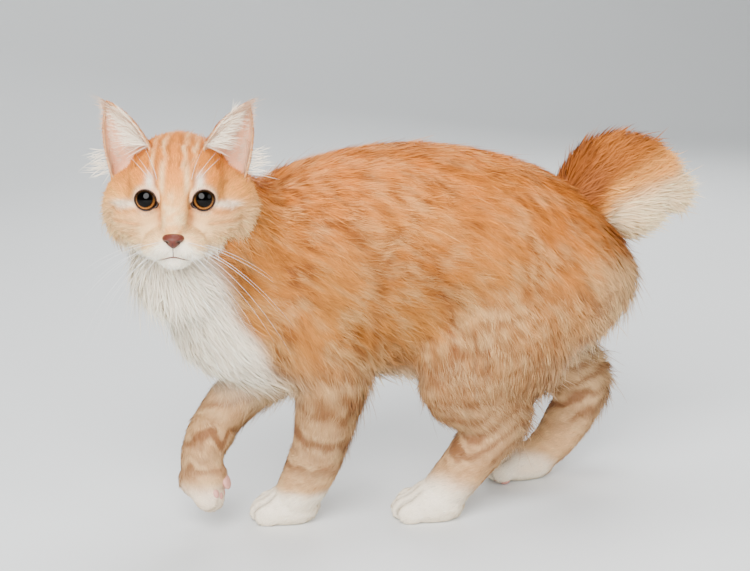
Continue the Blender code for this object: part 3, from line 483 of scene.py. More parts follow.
def body_skin():
    """The body's skin: all its masses wrapped at the tips of the coat, then sunk by the coat's depth."""
    parts = [loft(TRUNK_PATH, 28, 0.36), loft(NECK_PATH)]
    parts += [ellipsoid(*ball) for ball in BIB]
    parts += [loft(path) for path in LIMB_PATHS]
    for paw, path in zip(PAWS, PAW_PATHS):
        parts += paw_masses(paw, path)
    # A ball inside the head closes the neck's front end.
    parts += [ellipsoid(HEAD_AT + (0.006, 0.012, -0.006), (0.040, 0.040, 0.040))]
    points, normals, quads = wrapped(parts, BODY_GRID, 7)
    coat = body_coat(points, normals)
    # On the feet it is sunk further, under their own finer skins.
    points = points - normals * (coat["depth"] + 0.0030 * smooth(0.35, 0.75, coat["paw"]))[:, None]
    points[:, 2] = np.maximum(points[:, 2], SKIN_FLOOR)
    return points, quads, coat


def flank_folds(points):
    """How deep the skin's upright folds behind the shoulder and before the thigh are, from 0 to 1."""
    x, y, z = points.T
    wave = 0.0025 * np.sin(z * 70) - 0.11 * (z - 0.19)
    left = smooth(0.0, -0.03, y)
    total = 0
    for at, low, high, wide, strength in FOLDS:
        line = np.exp(-((x - at - wave) / wide) ** 2)
        total = total + strength * line * smooth(low, low + 0.03, z) * smooth(high + 0.03, high - 0.02, z)
    return np.clip(total * (0.35 + 0.65 * left), 0, 1)


def body_coat(points, normals):
    """The coat on the body: which mass a point is on, and from it the hair's way, length, lift and depth."""
    ways, fars, lengths, lifts = [], [], [], []

    def add(far, way, length, lift):
        """Keeps one mass's nearness and its coat's values at every point."""
        fars.append(far)
        ways.append(np.broadcast_to(way, points.shape))
        lengths.append(np.broadcast_to(length, len(points)))
        lifts.append(np.broadcast_to(lift, len(points)))

    low = np.clip(-normals[:, 2], 0, 1)
    stern = smooth(0.13, 0.17, points[:, 0])
    far, i = nearness(TRUNK_PATH, points)
    down = np.array((0, 0, -1.0))
    fall = 0.42 + 0.55 * smooth(-0.02, 0.14, points[:, 0]) + 0.35 * smooth(0.22, 0.15, points[:, 2])
    add(far, TRUNK_PATH["way"][i] * (1 - 0.5 * stern)[:, None] + down * fall[:, None],
        0.0135 + 0.013 * low + 0.006 * stern, 0.17 + 0.04 * stern + 0.08 * low)
    add(nearness(NECK_PATH, points)[0], np.array((0.9, 0.1, 0)) + down * 0.75, 0.0175, 0.20)
    for middle, radii in BIB:
        add(ball_nearness(middle, radii, points), np.array((0.30, 0, -1.0)), 0.027, 0.25)
    rear = smooth(0.0, 0.8, normals[:, 0])
    for k, path in enumerate(LIMB_PATHS):
        far, i = nearness(path, points)
        t = path["t"][i]
        fore = k < 2
        way = path["way"][i] + np.array((0.30 if fore else 0.90, 0, 0)) * (1 - t)[:, None]
        length = 0.0075 * (1 - smooth(0.15, 0.75, t)) + 0.0060
        length = length + (0.006 if fore else 0.012) * rear * smooth(0.85, 0.45, t)
        add(far, way, length, 0.18 + (0.12 if fore else 0.16) * rear)
    for paw, path in zip(PAWS, PAW_PATHS):
        add(nearness(path, points)[0] * 1.02, paw_axes(paw)[2], 0.0042, 0.22)
    # A point's share in each mass falls off from the nearest one, so the coats blend into each other.
    far = np.stack(fars)
    share = np.exp(-((far - far.min(0)) / 0.13) ** 2)
    share /= share.sum(0)
    way = laid(sum(s[:, None] * w for s, w in zip(share, ways)), normals)
    length, lift = (sum(s * v for s, v in zip(share, values)) for values in (lengths, lifts))
    bib = share[2:4].sum(0)
    depth = 0.0004 + (0.80 - 0.55 * bib) * length * np.sin(lift) + 0.0016 * flank_folds(points)
    return {"way": way, "length": length, "depth": depth, "lift": lift,
            "limb": share[4:8].sum(0), "paw": share[8:].sum(0), "bib": bib}


def head_masses():
    """Skull, cheeks, muzzle, chin, brows and bridge of the nose, on the head's axes, with the coat on."""
    parts = [
        ellipsoid((0, -0.010, 0.002), (0.041, 0.047, 0.0400)),
        ellipsoid((0, 0.014, 0.012), (0.033, 0.025, 0.025)),
        ellipsoid((0, 0.012, -0.030), (0.036, 0.034, 0.0180)),
        ellipsoid((0, 0.036, -0.0300), (0.0235, 0.0200, 0.0150)),
        ellipsoid((0, 0.0440, -0.0405), (0.0125, 0.0115, 0.0072)),
        loft(spine(((0, 0.025, 0.012, 0.014, 0.014), (0, 0.0400, -0.005, 0.0112, 0.0112),
                    (0, 0.0510, -0.0200, 0.0085, 0.0085)), side=(1, 0, 0))),
    ]
    for s in (-1, 1):
        parts += [
            ellipsoid((s * 0.0290 + 0.0012, -0.003, -0.0115), (0.0285, 0.031, 0.0300)),
            ellipsoid((s * 0.0112, 0.0465, -0.0310), (0.0128, 0.0122, 0.0105)),
            ellipsoid((s * 0.0195, 0.0230, 0.0120), (0.0150, 0.0120, 0.0100)),
            ellipsoid((s * 0.0190, 0.0235, 0.0000), (0.0150, 0.0138, 0.0138)),
            ellipsoid((s * 0.0260, 0.0220, -0.0150), (0.0200, 0.0170, 0.0150)),
            ellipsoid((s * 0.0300, -0.026, 0.0160), (0.0140, 0.0120, 0.0140)),
        ]
    return parts


def eye_axes(side):
    """On the head's axes: an eye's middle, the way it looks, the way to its outer corner, and up."""
    middle = np.array((side * EYE_SPREAD, EYE_FORWARD, 0.0))
    out = np.array((side * np.sin(EYE_TURN), np.cos(EYE_TURN), 0.0))
    outer = np.array((side * np.cos(EYE_TURN), -np.sin(EYE_TURN), 0.0))
    return middle, out, outer, np.array((0, 0, 1.0))


def inner_corner(angle):
    """1 at an eye's inner corner and less beside it, for an angle from its outer corner."""
    return np.exp(-((np.cos(angle - EYE_CORNER) - 1) / 0.045) ** 2)


def opening(angle):
    """How far the lids' edge is from an eye's axis, at an angle from its outer corner, up being positive."""
    outer = np.exp(-((np.cos(angle - np.radians(14)) - 1) / 0.12) ** 2)
    up = np.clip(np.sin(angle), 0, 1)
    return EYE_OPENING * (1 + 0.15 * inner_corner(angle) + 0.04 * outer - 0.045 * up)


def eye_polar(q, side):
    """Points on the head's axes as distance from an eye's axis, angle round it, and height along it."""
    middle, out, outer, up = eye_axes(side)
    off = q - middle
    x, y, z = off @ outer, off @ up, off @ out
    return np.hypot(x, y), np.arctan2(y, x), z


# The line of the mouth, on the head's axes: half its width, and its places.
MOUTH_HALF, MOUTH_PLACES = 0.0125, 31
MOUTH_X = np.linspace(-MOUTH_HALF, MOUTH_HALF, MOUTH_PLACES)
MOUTH = np.stack((MOUTH_X, 0.0575 - 16.0 * MOUTH_X ** 2 - 0.10 * abs(MOUTH_X),
                  -0.0376 + 0.0011 * np.cos(MOUTH_X / 0.0034) - 3.0 * MOUTH_X ** 2), 1)


def under_nose(forward, height):
    """A line in the head's middle plane between two places forward and two heights."""
    forward, height = (np.linspace(*ends, MOUTH_PLACES) for ends in (forward, height))
    return np.stack((0 * MOUTH_X, forward, height), 1)


def near_line(q, line):
    """The distance from points to the nearest of a line's points."""
    best = np.full(len(q), 1e9)
    for at in line:
        best = np.minimum(best, ((q - at) ** 2).sum(1))
    return np.sqrt(best)


def head_skin():
    """The head's skin, sunk by its coat, with sockets and lids round the eyes, mouth line and groove."""
    q, normals, quads = wrapped(head_masses(), HEAD_GRID, 24)
    coat = head_coat(q, normals)
    q = q - normals * coat["depth"][:, None]
    for line, wide, deep in ((MOUTH, 0.0013, 0.0014),
                             (under_nose((0.0590, 0.0575), (-0.0290, -0.0360)), 0.0009, 0.0012)):
        q = q - normals * (deep * np.exp(-(near_line(q, line) / wide) ** 2))[:, None]
    hollow = ear_hollow(q, 1) + ear_hollow(q, -1)
    q = q - hollow[:, None] * (0, 1, 0)
    coat["hollow"] = smooth(0.0, 0.001, hollow)
    for side in (-1, 1):
        reach, angle, z = eye_polar(q, side)
        edge = opening(angle)
        front = (z > -0.002) & (reach < 0.020)
        # The lid lies on the eyeball, and inside the opening the skin drops behind it.
        ball = np.sqrt(np.maximum(EYE_RADIUS ** 2 - reach ** 2, 0))
        sunk = smooth(edge + 0.0004, edge - 0.0022, reach)
        lid = ball + 0.0006 + 0.10 * np.maximum(reach - edge, 0) - 0.0034 * sunk
        share = smooth(edge + 0.0045, edge + 0.0008, reach)
        target = mix(z[:, None], lid[:, None], share)[:, 0]
        q = q + eye_axes(side)[1] * (np.where(front, target - z, 0))[:, None]
    return q, quads, coat


def ear_hollow(q, side):
    """How far behind its own place a point of the head must go to be behind an ear's hollow, 0 outside it.

    Seen from the front an ear is a triangle of inner foot, outer foot and tip; a point's shares of the three
    corners give how far up the ear it is and how far across, and from them how deep the hollow is there.
    """
    inner, outer, tip = (np.array(p) * (side, 1, 1) for p in (EAR_INNER, EAR_OUTER, EAR_TIP))
    flat = np.linalg.inv(np.array(((inner[0], outer[0], tip[0]), (inner[2], outer[2], tip[2]), (1, 1, 1))))
    share = np.stack((q[:, 0], q[:, 2], np.ones(len(q))), 1) @ flat.T
    v = share[:, 2]
    w = share[:, 1] / np.maximum(1 - v, 0.05)
    inside = (v > -0.09) & (v < 1) & (w > 0.01) & (w < 0.99) & (q[:, 1] > -0.025)
    w = np.clip(w, 0, 1)
    edges = [(foot + (tip - foot) * v[:, None])[:, 1] for foot in (inner, outer)]
    line = (1 - w) * edges[0] + w * edges[1]
    deep = EAR_DEPTH * (1 - np.clip(v, 0, 1)) ** 0.8 * 2 * np.sqrt(w * (1 - w)) * smooth(-0.10, 0.03, v)
    return np.where(inside, np.maximum(q[:, 1] - (line - deep - 0.0022), 0), 0)


def head_coat(q, normals):
    """The coat on the head: hair flows away from the nose, and is longest on the low rear of the cheeks."""
    x, y, z = q.T
    way = unit(q - (0, 0.066, -0.022))
    wide = np.abs(x)
    ruff = smooth(0.022, 0.044, wide) * smooth(0.035, -0.005, y) * smooth(0.008, -0.016, z)
    way = way + np.array((0, 0, -1.0)) * (1.25 * ruff)[:, None]
    top = smooth(0.004, 0.022, z)
    way = way + np.array((0, -0.5, 0.35)) * top[:, None]
    below = smooth(-0.030, -0.045, z)
    way = way + np.array((0, -0.7, -0.5)) * below[:, None]
    back = smooth(0.02, -0.03, y)
    face = smooth(0.020, 0.052, y)
    length = 0.0068 - 0.0024 * face + 0.006 * back + 0.007 * ruff
    jaw = smooth(-0.014, -0.030, z) * smooth(0.018, 0.034, wide) * smooth(0.048, 0.024, y)
    way = way + np.array((0, 0, -1.0)) * jaw[:, None]
    throat = smooth(-0.036, -0.046, z) * smooth(0.040, 0.015, y)
    length = length + 0.006 * jaw + 0.009 * throat
    length = (length - 0.0012 * smooth(0.012, 0.004, wide) * smooth(-0.026, -0.016, z)
              * smooth(0.030, 0.050, y))
    depth = 0.0026 - 0.0014 * face + 0.0030 * ruff + 0.001 * back
    near = np.minimum(*(eye_polar(q, side)[0] for side in (-1, 1)))
    close = smooth(0.019, 0.0100, near) * smooth(0.0, 0.02, y)
    length = length * (1 - 0.45 * close)
    depth = depth * (1 - 0.5 * close)
    return {"way": laid(way, normals), "length": length, "depth": depth, "lift": 0.16 + 0.06 * ruff}


def tail_skin():
    """The short tail's core, that its long hair grows from."""
    path = dict(TAIL_PATH)
    path["a"], path["b"] = path["a"] * 0.74, path["b"] * 0.74
    middle, radii = np.array(TAIL_BALL)
    parts = [loft(path, 20), ellipsoid(middle - (0.006, 0, 0.004), radii * 0.72)]
    points, normals, quads = wrapped(parts, TAIL_GRID, 5)
    t = TAIL_PATH["t"][nearness(TAIL_PATH, points)[1]]
    # Hair leaves the base upwards and back, and turns over towards the rear further out.
    way = np.array((1.0, 0, 0.15)) + unit(points - (0.150, 0, 0.225)) * 0.7
    way = laid(way - np.array((0, 0, 0.6)) * t[:, None], normals)
    return points, quads, {"way": way, "length": 0.020 + 0.006 * t, "lift": np.full(len(points), 0.34)}


def ear_grid(side, rows=30, columns=27):
    """The half-round trough between an ear's edges, from its foot to its tip, on the head's axes.

    At v up the ear and an angle from 0 to pi across it, a point is the edges' mix by (1 - cos angle) / 2,
    set back by the depth there times sin(angle). The edges swell outwards by EAR_SWELL sin(pi v).
    """
    v = np.linspace(-EAR_ROOT, EAR_END, rows)
    inner, outer, tip = (np.array(p) * (side, 1, 1) for p in (EAR_INNER, EAR_OUTER, EAR_TIP))
    swell = (np.sin(np.pi * np.maximum(v, 0)) * EAR_SWELL)[:, None]
    a = inner + (tip - inner) * v[:, None] + np.array((-side * 0.7, 0, 0.7)) * swell
    b = outer + (tip - outer) * v[:, None] + np.array((side, 0, 0)) * swell
    pinch = (0.5 * np.maximum(-v / EAR_ROOT, 0) ** 2)[:, None]
    middle = (a + b) / 2
    a, b = a + (middle - a) * pinch, b + (middle - b) * pinch
    depth = EAR_DEPTH * (1 - np.maximum(v, 0)) ** 0.8 * (1 - pinch[:, 0])
    angle = np.linspace(0, np.pi, columns)
    share = (0.5 - 0.5 * np.cos(angle))[:, None]
    grid = a[:, None] * (1 - share) + b[:, None] * share
    grid[..., 1] -= depth[:, None] * np.sin(angle)
    return grid, v


def ear_shell(side):
    """An ear's thin closed shell from two layers of one grid: arrays, and each point's v, u and layer."""
    grid, v = ear_grid(side)
    rows, columns = grid.shape[:2]
    normal = unit(np.cross(np.gradient(grid, axis=0), np.gradient(grid, axis=1)))
    normal *= np.sign(dot(normal[rows // 2, columns // 2], np.array((0, 1.0, 0)))) or 1
    half = (0.0008 * (1 - 0.5 * np.clip(v, 0, 1)))[:, None, None]
    u = np.linspace(0, 1, columns)
    fold = 0.0009 * np.exp(-((u - 0.30) / 0.06) ** 2) + 0.0007 * np.exp(-((u - 0.62) / 0.05) ** 2)
    fold = fold[None, :, None] * (np.sin(np.pi * np.clip(v, 0, 1)) ** 0.5)[:, None, None]
    front, back = grid + normal * (half + fold), grid - normal * half
    points = np.concatenate((front.reshape(-1, 3), back.reshape(-1, 3)))
    size = rows * columns
    i = np.arange(size).reshape(rows, columns)
    quads = grid_quads(rows, columns)
    rim = np.concatenate((i[0, :], i[1:, -1], i[-1, -2::-1], i[-2:0:-1, 0]))
    after = np.roll(rim, -1)
    edge = np.stack((rim, after, after + size, rim + size), -1)
    # The front layer's own turn decides which way round each set of faces goes.
    corner = points[quads[len(quads) // 2]]
    looks = np.cross(corner[1] - corner[0], corner[2] - corner[0]) @ normal[rows // 2, columns // 2]
    if looks > 0:
        faces = np.concatenate((quads, quads[:, ::-1] + size, edge[:, ::-1]))
    else:
        faces = np.concatenate((quads[:, ::-1], quads + size, edge))
    place = np.stack((np.tile(np.repeat(v, columns), 2), np.tile(np.tile(u, rows), 2),
                      np.repeat((1.0, 0.0), size)), 1)
    return points, faces, place, grid, normal


def stripes(value, sharp=0.35):
    """Bands, 1 on their middles, where value passes whole numbers."""
    return smooth(-sharp, 1.0, np.cos(2 * np.pi * value)) ** 1.5


def body_colour(p, coat):
    """The body's markings: ginger above, paler flanks with faint bars, white bib, belly and feet.

    Painted shade darkens the low trunk, the crease before the tail and the flank's folds.
    """
    x, y, z = p.T
    wob = noise(p, 0.030, 3) - 0.5
    fine = noise(p, 0.009, 5) - 0.5
    back = smooth(0.130, 0.285, z + 0.02 * wob)
    stern = smooth(0.02, 0.15, x)
    rgb = mix(PALE, ORANGE, np.clip(0.30 + 0.60 * back + 0.25 * stern + 0.5 * wob, 0, 1))
    bars = stripes(x / 0.0155 + 2.8 * wob + 1.3 * fine + (z - 0.2) * (8 + 20 * stern), 0.55)
    blotch = smooth(0.30, 0.70, noise(p * (1, 1, 0.55), 0.015, 7))
    # Brushed streaks: noise drawn out along the lie of the hair.
    along, over = 0.80 * x - 0.60 * z, 0.60 * x + 0.80 * z
    streak = noise(np.stack((along * 0.22, over, y * 0.6), 1), 0.0042, 8)
    darker = (0.12 + 0.72 * bars) * (0.30 + 0.70 * blotch) + 0.42 * smooth(0.55, 0.95, streak)
    rgb = mix(rgb, DEEP, np.clip(darker, 0, 1))
    rgb = mix(rgb, CREAM, 0.45 * (1 - bars) * (1 - 0.60 * back) * smooth(0.40, 0.70, noise(p, 0.011, 9)))
    rgb = mix(rgb, CREAM, 0.32 * smooth(0.50, 0.10, streak) * (1 - 0.4 * back))
    # Painted shade on the low trunk, less at the stern; the whole coat is also warmed.
    rgb = rgb * (1 - 0.34 * smooth(0.28, 0.18, z) * (1 - 0.6 * stern))[:, None] * (1, 0.95, 0.82)
    # Painted shade in the crease before the tail, and the pale breeches under it.
    rgb = mix(rgb, DEEP, 0.55 * smooth(0.100, 0.150, x + 0.012 * wob)
              * smooth(0.185, 0.225, z + 0.5 * (x - 0.14)))
    rgb = mix(rgb, CREAM, 0.65 * smooth(0.120, 0.165, x) * smooth(0.215, 0.185, z + 0.02 * wob))
    # Bars round the thighs and legs.
    leg = coat["limb"]
    hind = smooth(-0.02, 0.0, x)
    bends = 1.2 * wob + 0.7 * fine
    rings = (stripes(z * 41 + bends, 0.3) * (1 - hind)
             + stripes((z - 0.32 * x) * 74 + bends, 0.6) * hind)
    rings = np.clip(rings * (0.7 + 0.6 * blotch) + 0.25 * stripes(z * 95 + 2 * bends), 0, 1)
    low = smooth(0.16, 0.05, z)
    legs = mix(rgb, LEG, 0.85 * low)
    light = mix(legs, CREAM, 0.20 + 0.16 * smooth(0.6, 0.3, streak))
    lift = smooth(0.0, 0.02, y) * (1 - hind)
    shown = np.clip(1.2 * rings, 0, 1) * smooth(0.036, 0.06, z) * (1 - 0.45 * lift)
    legs = mix(light, mix(legs, BAR, 0.80), shown)
    legs = legs * (1 - 0.16 * smooth(0.16, 0.10, z) * smooth(0.03, 0.06, z))[:, None]
    where = smooth(0.165, 0.115, z) + 0.8 * smooth(-0.015, 0.045, x) * smooth(0.205, 0.165, z)
    rgb = mix(rgb, legs, np.clip(where, 0, 1))
    # Cream insides of the legs and the belly.
    under = smooth(0.135, 0.112, z + 0.012 * wob) * (1 - leg) * (1 - coat["paw"])
    rgb = mix(rgb, mix(CREAM, WHITE, 0.4), under * 0.85)
    inside = leg * smooth(0.020, 0.0, np.abs(y)) * smooth(0.16, 0.12, z) * smooth(-0.13, -0.10, x)
    rgb = mix(rgb, CREAM, 0.25 * inside)
    # The bib, from the throat to between the forelegs.
    edge = -0.139 - 0.54 * (z - 0.155) + 0.016 * wob + 0.010 * smooth(0.035, 0.0, np.abs(y + 0.010))
    bib = smooth(edge + 0.010, edge - 0.010, x) * smooth(0.100, 0.125, z) * (1 - 0.8 * leg)
    rgb = mix(rgb, WHITE, bib * 0.95)
    # White feet.
    fore = smooth(0.034, 0.024, z + 0.004 * fine) * smooth(-0.03, -0.06, x) * smooth(-0.158, -0.146, x)
    lifted = smooth(-0.145, -0.160, x) * smooth(0.046, 0.030, z)
    rear = smooth(0.046, 0.022, z + 0.35 * (x - 0.01) + 0.004 * fine) * smooth(-0.055, -0.040, x)
    far = (smooth(0.034, 0.020, z + 0.2 * (x - 0.10)) * smooth(0.01, 0.02, y)
           * smooth(0.145, 0.125, x) * smooth(0.05, 0.06, x))
    rgb = mix(rgb, WHITE, np.clip(fore + 0.75 * lifted + rear + far, 0, 1) * 0.9)
    # Painted shade along the flank's folds.
    return mix(rgb, DEEP, 0.68 * flank_folds(p))


def head_colour(q):
    """The face's markings and the painted shade along its mouth.

    Lines up the forehead, pale marks round the eyes, cheek stripes and a white muzzle.
    """
    x, y, z = q.T
    wide = np.abs(x)
    wob = noise(q + 1.0, 0.016, 11) - 0.5
    fine = noise(q + 1.0, 0.005, 13) - 0.5
    front = smooth(0.0, 0.018, y)
    rgb = mix(PALE, ORANGE, np.clip(0.25 + 0.75 * smooth(0.0, 0.030, z) + 0.5 * wob + 0.3 * fine, 0, 1))
    rgb = mix(rgb, CREAM, 0.70 * smooth(0.004, -0.020, z + 0.3 * wob * 0.02))
    # Forehead: dark lines on the crown, and pale streaks that come down between them.
    crown = smooth(0.017, 0.026, z) * smooth(-0.030, -0.010, y)
    wide = np.abs(x + 0.006 * wob + 0.003 * fine)
    lines = ridge(wide, 0.0034, 0.0013) + ridge(wide, 0.0098, 0.0015) + 0.8 * ridge(wide, 0.0168, 0.0017)
    rgb = mix(rgb, DEEP, np.clip(0.50 * lines * crown * (0.9 + 1.2 * fine), 0, 1))
    between = ridge(wide, 0.0066, 0.0014) + ridge(wide, 0.0133, 0.0014)
    rgb = mix(rgb, CREAM, (0.50 + 0.8 * fine) * between * crown)
    wide = np.abs(x)
    brow = smooth(0.002, 0.008, z) * smooth(0.030, 0.018, z)
    rgb = mix(rgb, CREAM, 0.75 * ridge(wide, 0.0088, 0.0020) * brow)
    rgb = mix(rgb, DEEP, 0.62 * ridge(wide, 0.0128 + 0.05 * z, 0.0012)
              * smooth(0.003, 0.007, z) * smooth(0.026, 0.016, z))
    rgb = mix(rgb, WHITE, 0.85 * ridge(wide, 0.0178, 0.0030)
              * smooth(0.005, 0.009, z) * smooth(0.022, 0.014, z))
    rgb = mix(rgb, ORANGE, 0.55 * ridge(wide, 0.0260, 0.0050) * smooth(0.006, 0.014, z))
    # Round the eyes: a pale rim, a white streak from the outer corner and ginger lines under it.
    for side in (-1, 1):
        reach = eye_polar(q, side)[0]
        rgb = mix(rgb, mix(CREAM, WHITE, 0.35), 0.55 * smooth(0.0120, 0.0092, reach) * front)
        rgb = mix(rgb, mix(PINK, DEEP, 0.45), 0.55 * smooth(0.0094, 0.0080, reach) * front)
    out = smooth(0.025, 0.030, wide)
    rgb = mix(rgb, WHITE, 0.80 * ridge(z + 0.16 * (wide - 0.028), -0.0030, 0.0020) * out
              * smooth(0.050, 0.040, wide))
    line = z + 0.05 * (wide - 0.03) + 0.002 * fine
    rgb = mix(rgb, mix(ORANGE, DEEP, 0.5), 0.62 * ridge(line, -0.0080, 0.0014)
              * smooth(0.020, 0.028, wide) * smooth(0.052, 0.042, wide))
    line = z - 0.10 * (wide - 0.03) + 0.002 * fine
    rgb = mix(rgb, mix(ORANGE, DEEP, 0.4), 0.50 * ridge(line, -0.0165, 0.0016)
              * smooth(0.018, 0.026, wide) * smooth(0.054, 0.046, wide))
    line = z - 0.20 * (wide - 0.03)
    rgb = mix(rgb, mix(ORANGE, DEEP, 0.3), 0.35 * ridge(line, -0.0255, 0.0016) * out)
    # The bridge of the nose, with a tan line down each side of it.
    bridge = smooth(0.0095, 0.0060, wide) * smooth(0.012, 0.0, z) * smooth(0.020, 0.036, y)
    rgb = mix(rgb, mix(PALE, CREAM, 0.30 + 0.6 * smooth(0.35, 0.65, noise(q, 0.003, 17))), 0.75 * bridge)
    rgb = mix(rgb, mix(ORANGE, DEEP, 0.35), 0.50 * ridge(wide, 0.0112, 0.0016)
              * smooth(0.000, -0.004, z) * smooth(-0.022, -0.014, z) * front)
    rgb = mix(rgb, ORANGE, 0.40 * ridge(wide, 0.0030, 0.0040) * ridge(z, -0.0185, 0.0040)
              * smooth(0.04, 0.05, y))
    # White muzzle, chin and throat.
    muzzle = smooth(0.021, 0.014, np.hypot(x, (z + 0.037) * 1.35)) * smooth(0.02, 0.034, y)
    rgb = mix(rgb, mix(CREAM, WHITE, 0.75), 0.92 * muzzle)
    rgb = mix(rgb, WHITE, 0.9 * smooth(-0.029, -0.040, z + 0.25 * wide - 0.006) * smooth(0.050, 0.034, wide))
    # Painted shade along the mouth's crease, deepest in the middle.
    mouth = np.exp(-(near_line(q, MOUTH) / 0.0016) ** 2)
    rgb = mix(rgb, mix(PINK, DEEP, 0.6), 0.45 * mouth * smooth(0.011, 0.003, wide))
    nape = smooth(-0.012, -0.030, y) * smooth(-0.03, -0.01, z)
    return mix(rgb, mix(ORANGE, DEEP, 0.25), 0.85 * nape)


def tail_colour(p):
    """The tail: ginger above, deeper at its root with painted shade of the crease, cream below."""
    x, _, z = p.T
    wob = noise(p, 0.020, 15) - 0.5
    under = smooth(0.285, 0.220, z - 0.42 * (x - 0.185) + 0.020 * wob) * smooth(0.150, 0.168, x)
    # Deeper at the root: painted shade of the crease between tail and body.
    rgb = mix(ORANGE, DEEP, np.clip(0.80 + 0.6 * wob + 0.3 * smooth(0.165, 0.140, x), 0, 1))
    rgb = mix(rgb, PALE, smooth(0.0, 0.30, under))
    return mix(rgb, mix(CREAM, WHITE, 0.25), smooth(0.3, 0.9, under))


def sampled(points, quads, values, density, count):
    """Random roots on a surface, as many on each face as its area and density ask.

    Returns the roots, and for each the values of the face's corners, weighed by its place between them.
    """
    tris = np.concatenate((quads[:, (0, 1, 2)], quads[:, (0, 2, 3)]))
    corners = points[tris]
    across, up = corners[:, 1] - corners[:, 0], corners[:, 2] - corners[:, 0]
    area = 0.5 * np.linalg.norm(np.cross(across, up), axis=1)
    total = np.cumsum(area * density[tris].mean(1))
    pick = np.searchsorted(total, (np.arange(count) + RNG.random(count)) / count * total[-1])
    pick = tris[np.minimum(pick, len(tris) - 1)]
    a, b = np.sqrt(RNG.random(count)), RNG.random(count)
    share = np.stack((1 - a, a * (1 - b), a * b), 1)

    def between(value):
        """A value at each root, from those at its face's corners."""
        return (value[pick] * (share if value.ndim == 1 else share[..., None])).sum(1)

    return between(points), {key: between(value) for key, value in values.items()}


def tufts(root, normal, way, length, width, lift, curl=0.28, swirl=0.17, sink=0.0006, uneven=0.16):
    """Flat tapering blades: each leaves its root at an angle, bends back along the body and ends in a point.

    A blade's middle line is root + length * (s along its way + (s - curl s^2) sin(lift) outwards), and its
    width follows a profile. Returns points (blades, 7, 3) and their shading normals.
    """
    count = len(root)
    side = unit(np.cross(way, normal))
    clump = (noise(root, 0.0065, 21) - 0.5) * 0.60 + (noise(root, 0.028, 22) - 0.5) * 0.6
    angle = clump + RNG.normal(0, swirl, count)
    way = way * np.cos(angle)[:, None] + side * np.sin(angle)[:, None]
    side = unit(np.cross(way, normal))
    lift = lift * np.exp(RNG.normal(0, 0.24, count))
    length = length * np.exp(RNG.normal(0, uneven, count))
    s = STEPS[None, :, None]
    run, rise = np.cos(lift)[:, None, None], np.sin(lift)[:, None, None]
    bend = side * RNG.normal(0, 0.10, count)[:, None]
    line = (root - normal * sink)[:, None] + length[:, None, None] * (
        way[:, None] * (run * s) + normal[:, None] * (rise * (s - curl * s * s)) + bend[:, None] * s * s)
    heading = unit(np.gradient(line, axis=1))
    across = unit(np.cross(heading, normal[:, None]))
    roll = RNG.normal(0, 0.45, count)[:, None, None]
    over = np.cross(across, heading)
    over *= np.sign(dot(over, normal[:, None]))[..., None]
    across, over = across * np.cos(roll) + over * np.sin(roll), over * np.cos(roll) - across * np.sin(roll)
    half = 0.5 * np.broadcast_to(width, count)[:, None] * PROFILE
    points = np.empty((count, BLADE_POINTS, 3))
    points[:, 0:6:2] = line[:, :3] + across[:, :3] * half[..., None]
    points[:, 1:6:2] = line[:, :3] - across[:, :3] * half[..., None]
    points[:, 6] = line[:, 3]
    shade = unit(normal[:, None] + over * 0.22 + heading * 0.08)
    return points, np.repeat(shade, 2, axis=1)[:, :BLADE_POINTS]


def blade_faces(count, flip):
    """The two quads and the triangle of each blade, turned round on request."""
    base = (np.arange(count) * BLADE_POINTS)[:, None]
    quads = np.concatenate((base + (0, 1, 3, 2), base + (2, 3, 5, 4)))
    tris = base + (4, 5, 6)
    return (quads[:, ::-1], tris[:, ::-1]) if flip else (quads, tris)


def coat_piece(name, points, shading, colour, uv, look):
    """Tufts as pieces under the limit of faces, each with its colours and its map for baking."""
    patch = np.stack((BLADE_SIDE * (TUFT_PATCH / 2), (BLADE_S - 0.5) * TUFT_PATCH), 1)
    for part, start in enumerate(range(0, len(points), MOST_TUFTS)):
        p, n, c, m = (value[start:start + MOST_TUFTS] for value in (points, shading, colour, uv))
        count = len(p)
        quads, tris = blade_faces(count, False)
        a, b, d = p[:, 0], p[:, 1], p[:, 2]
        if (dot(np.cross(b - a, d - a), n[:, 0]) > 0).mean() < 0.5:
            quads, tris = blade_faces(count, True)
        obj = piece(f"{name}_{part + 1}", p.reshape(-1, 3), quads, tris, look, colour=c.reshape(-1, 3),
                    normals=n.reshape(-1, 3))
        layer = obj.data.uv_layers.new(name="OFBake")
        every = (m[:, None] + patch).reshape(-1, 2)
        corners = np.concatenate((quads.ravel(), tris.ravel()))
        layer.data.foreach_set("uv", every[corners].astype(np.float32).ravel())


def hair_colour(markings, blades, tip=0.16, spread=0.09):
    """The markings under each blade's first third and under its tip, blended along it.

    Each tuft is a little lighter or darker than they are, deeper at its root and lighter at its tip.
    """
    low, high = (markings(blades[:, k]) for k in (2, 6))
    base = mix(low[:, None], high[:, None], smooth(0.25, 1.0, BLADE_S)[None])
    tone = np.exp(RNG.normal(0, spread, len(blades)))[:, None, None]
    along = (0.86 + 0.14 * smooth(0, 0.6, BLADE_S) + tip * BLADE_S ** 2)[None, :, None]
    return np.clip(base * tone * along, 0, 1)


def cylinder_map(paths, region, points, boxes):
    """A place on the map for each point: how far along its mass, and how far round it, in that mass's box."""
    uv = np.zeros((len(points), 2))
    for k, (path, box) in enumerate(zip(paths, boxes)):
        here = region == k
        if not here.any():
            continue
        i = nearness(path, points[here])[1]
        off = points[here] - path["at"][i]
        turn = np.arctan2(dot(off, path["along"][i]), dot(off, path["across"][i])) / (2 * np.pi) + 0.5
        along = path["t"][i] + dot(off, path["way"][i]) / np.linalg.norm(path["at"][-1] - path["at"][0])
        uv[here, 0] = box[0] + box[2] * np.clip(along, 0, 1)
        uv[here, 1] = box[1] + box[3] * turn
    return uv


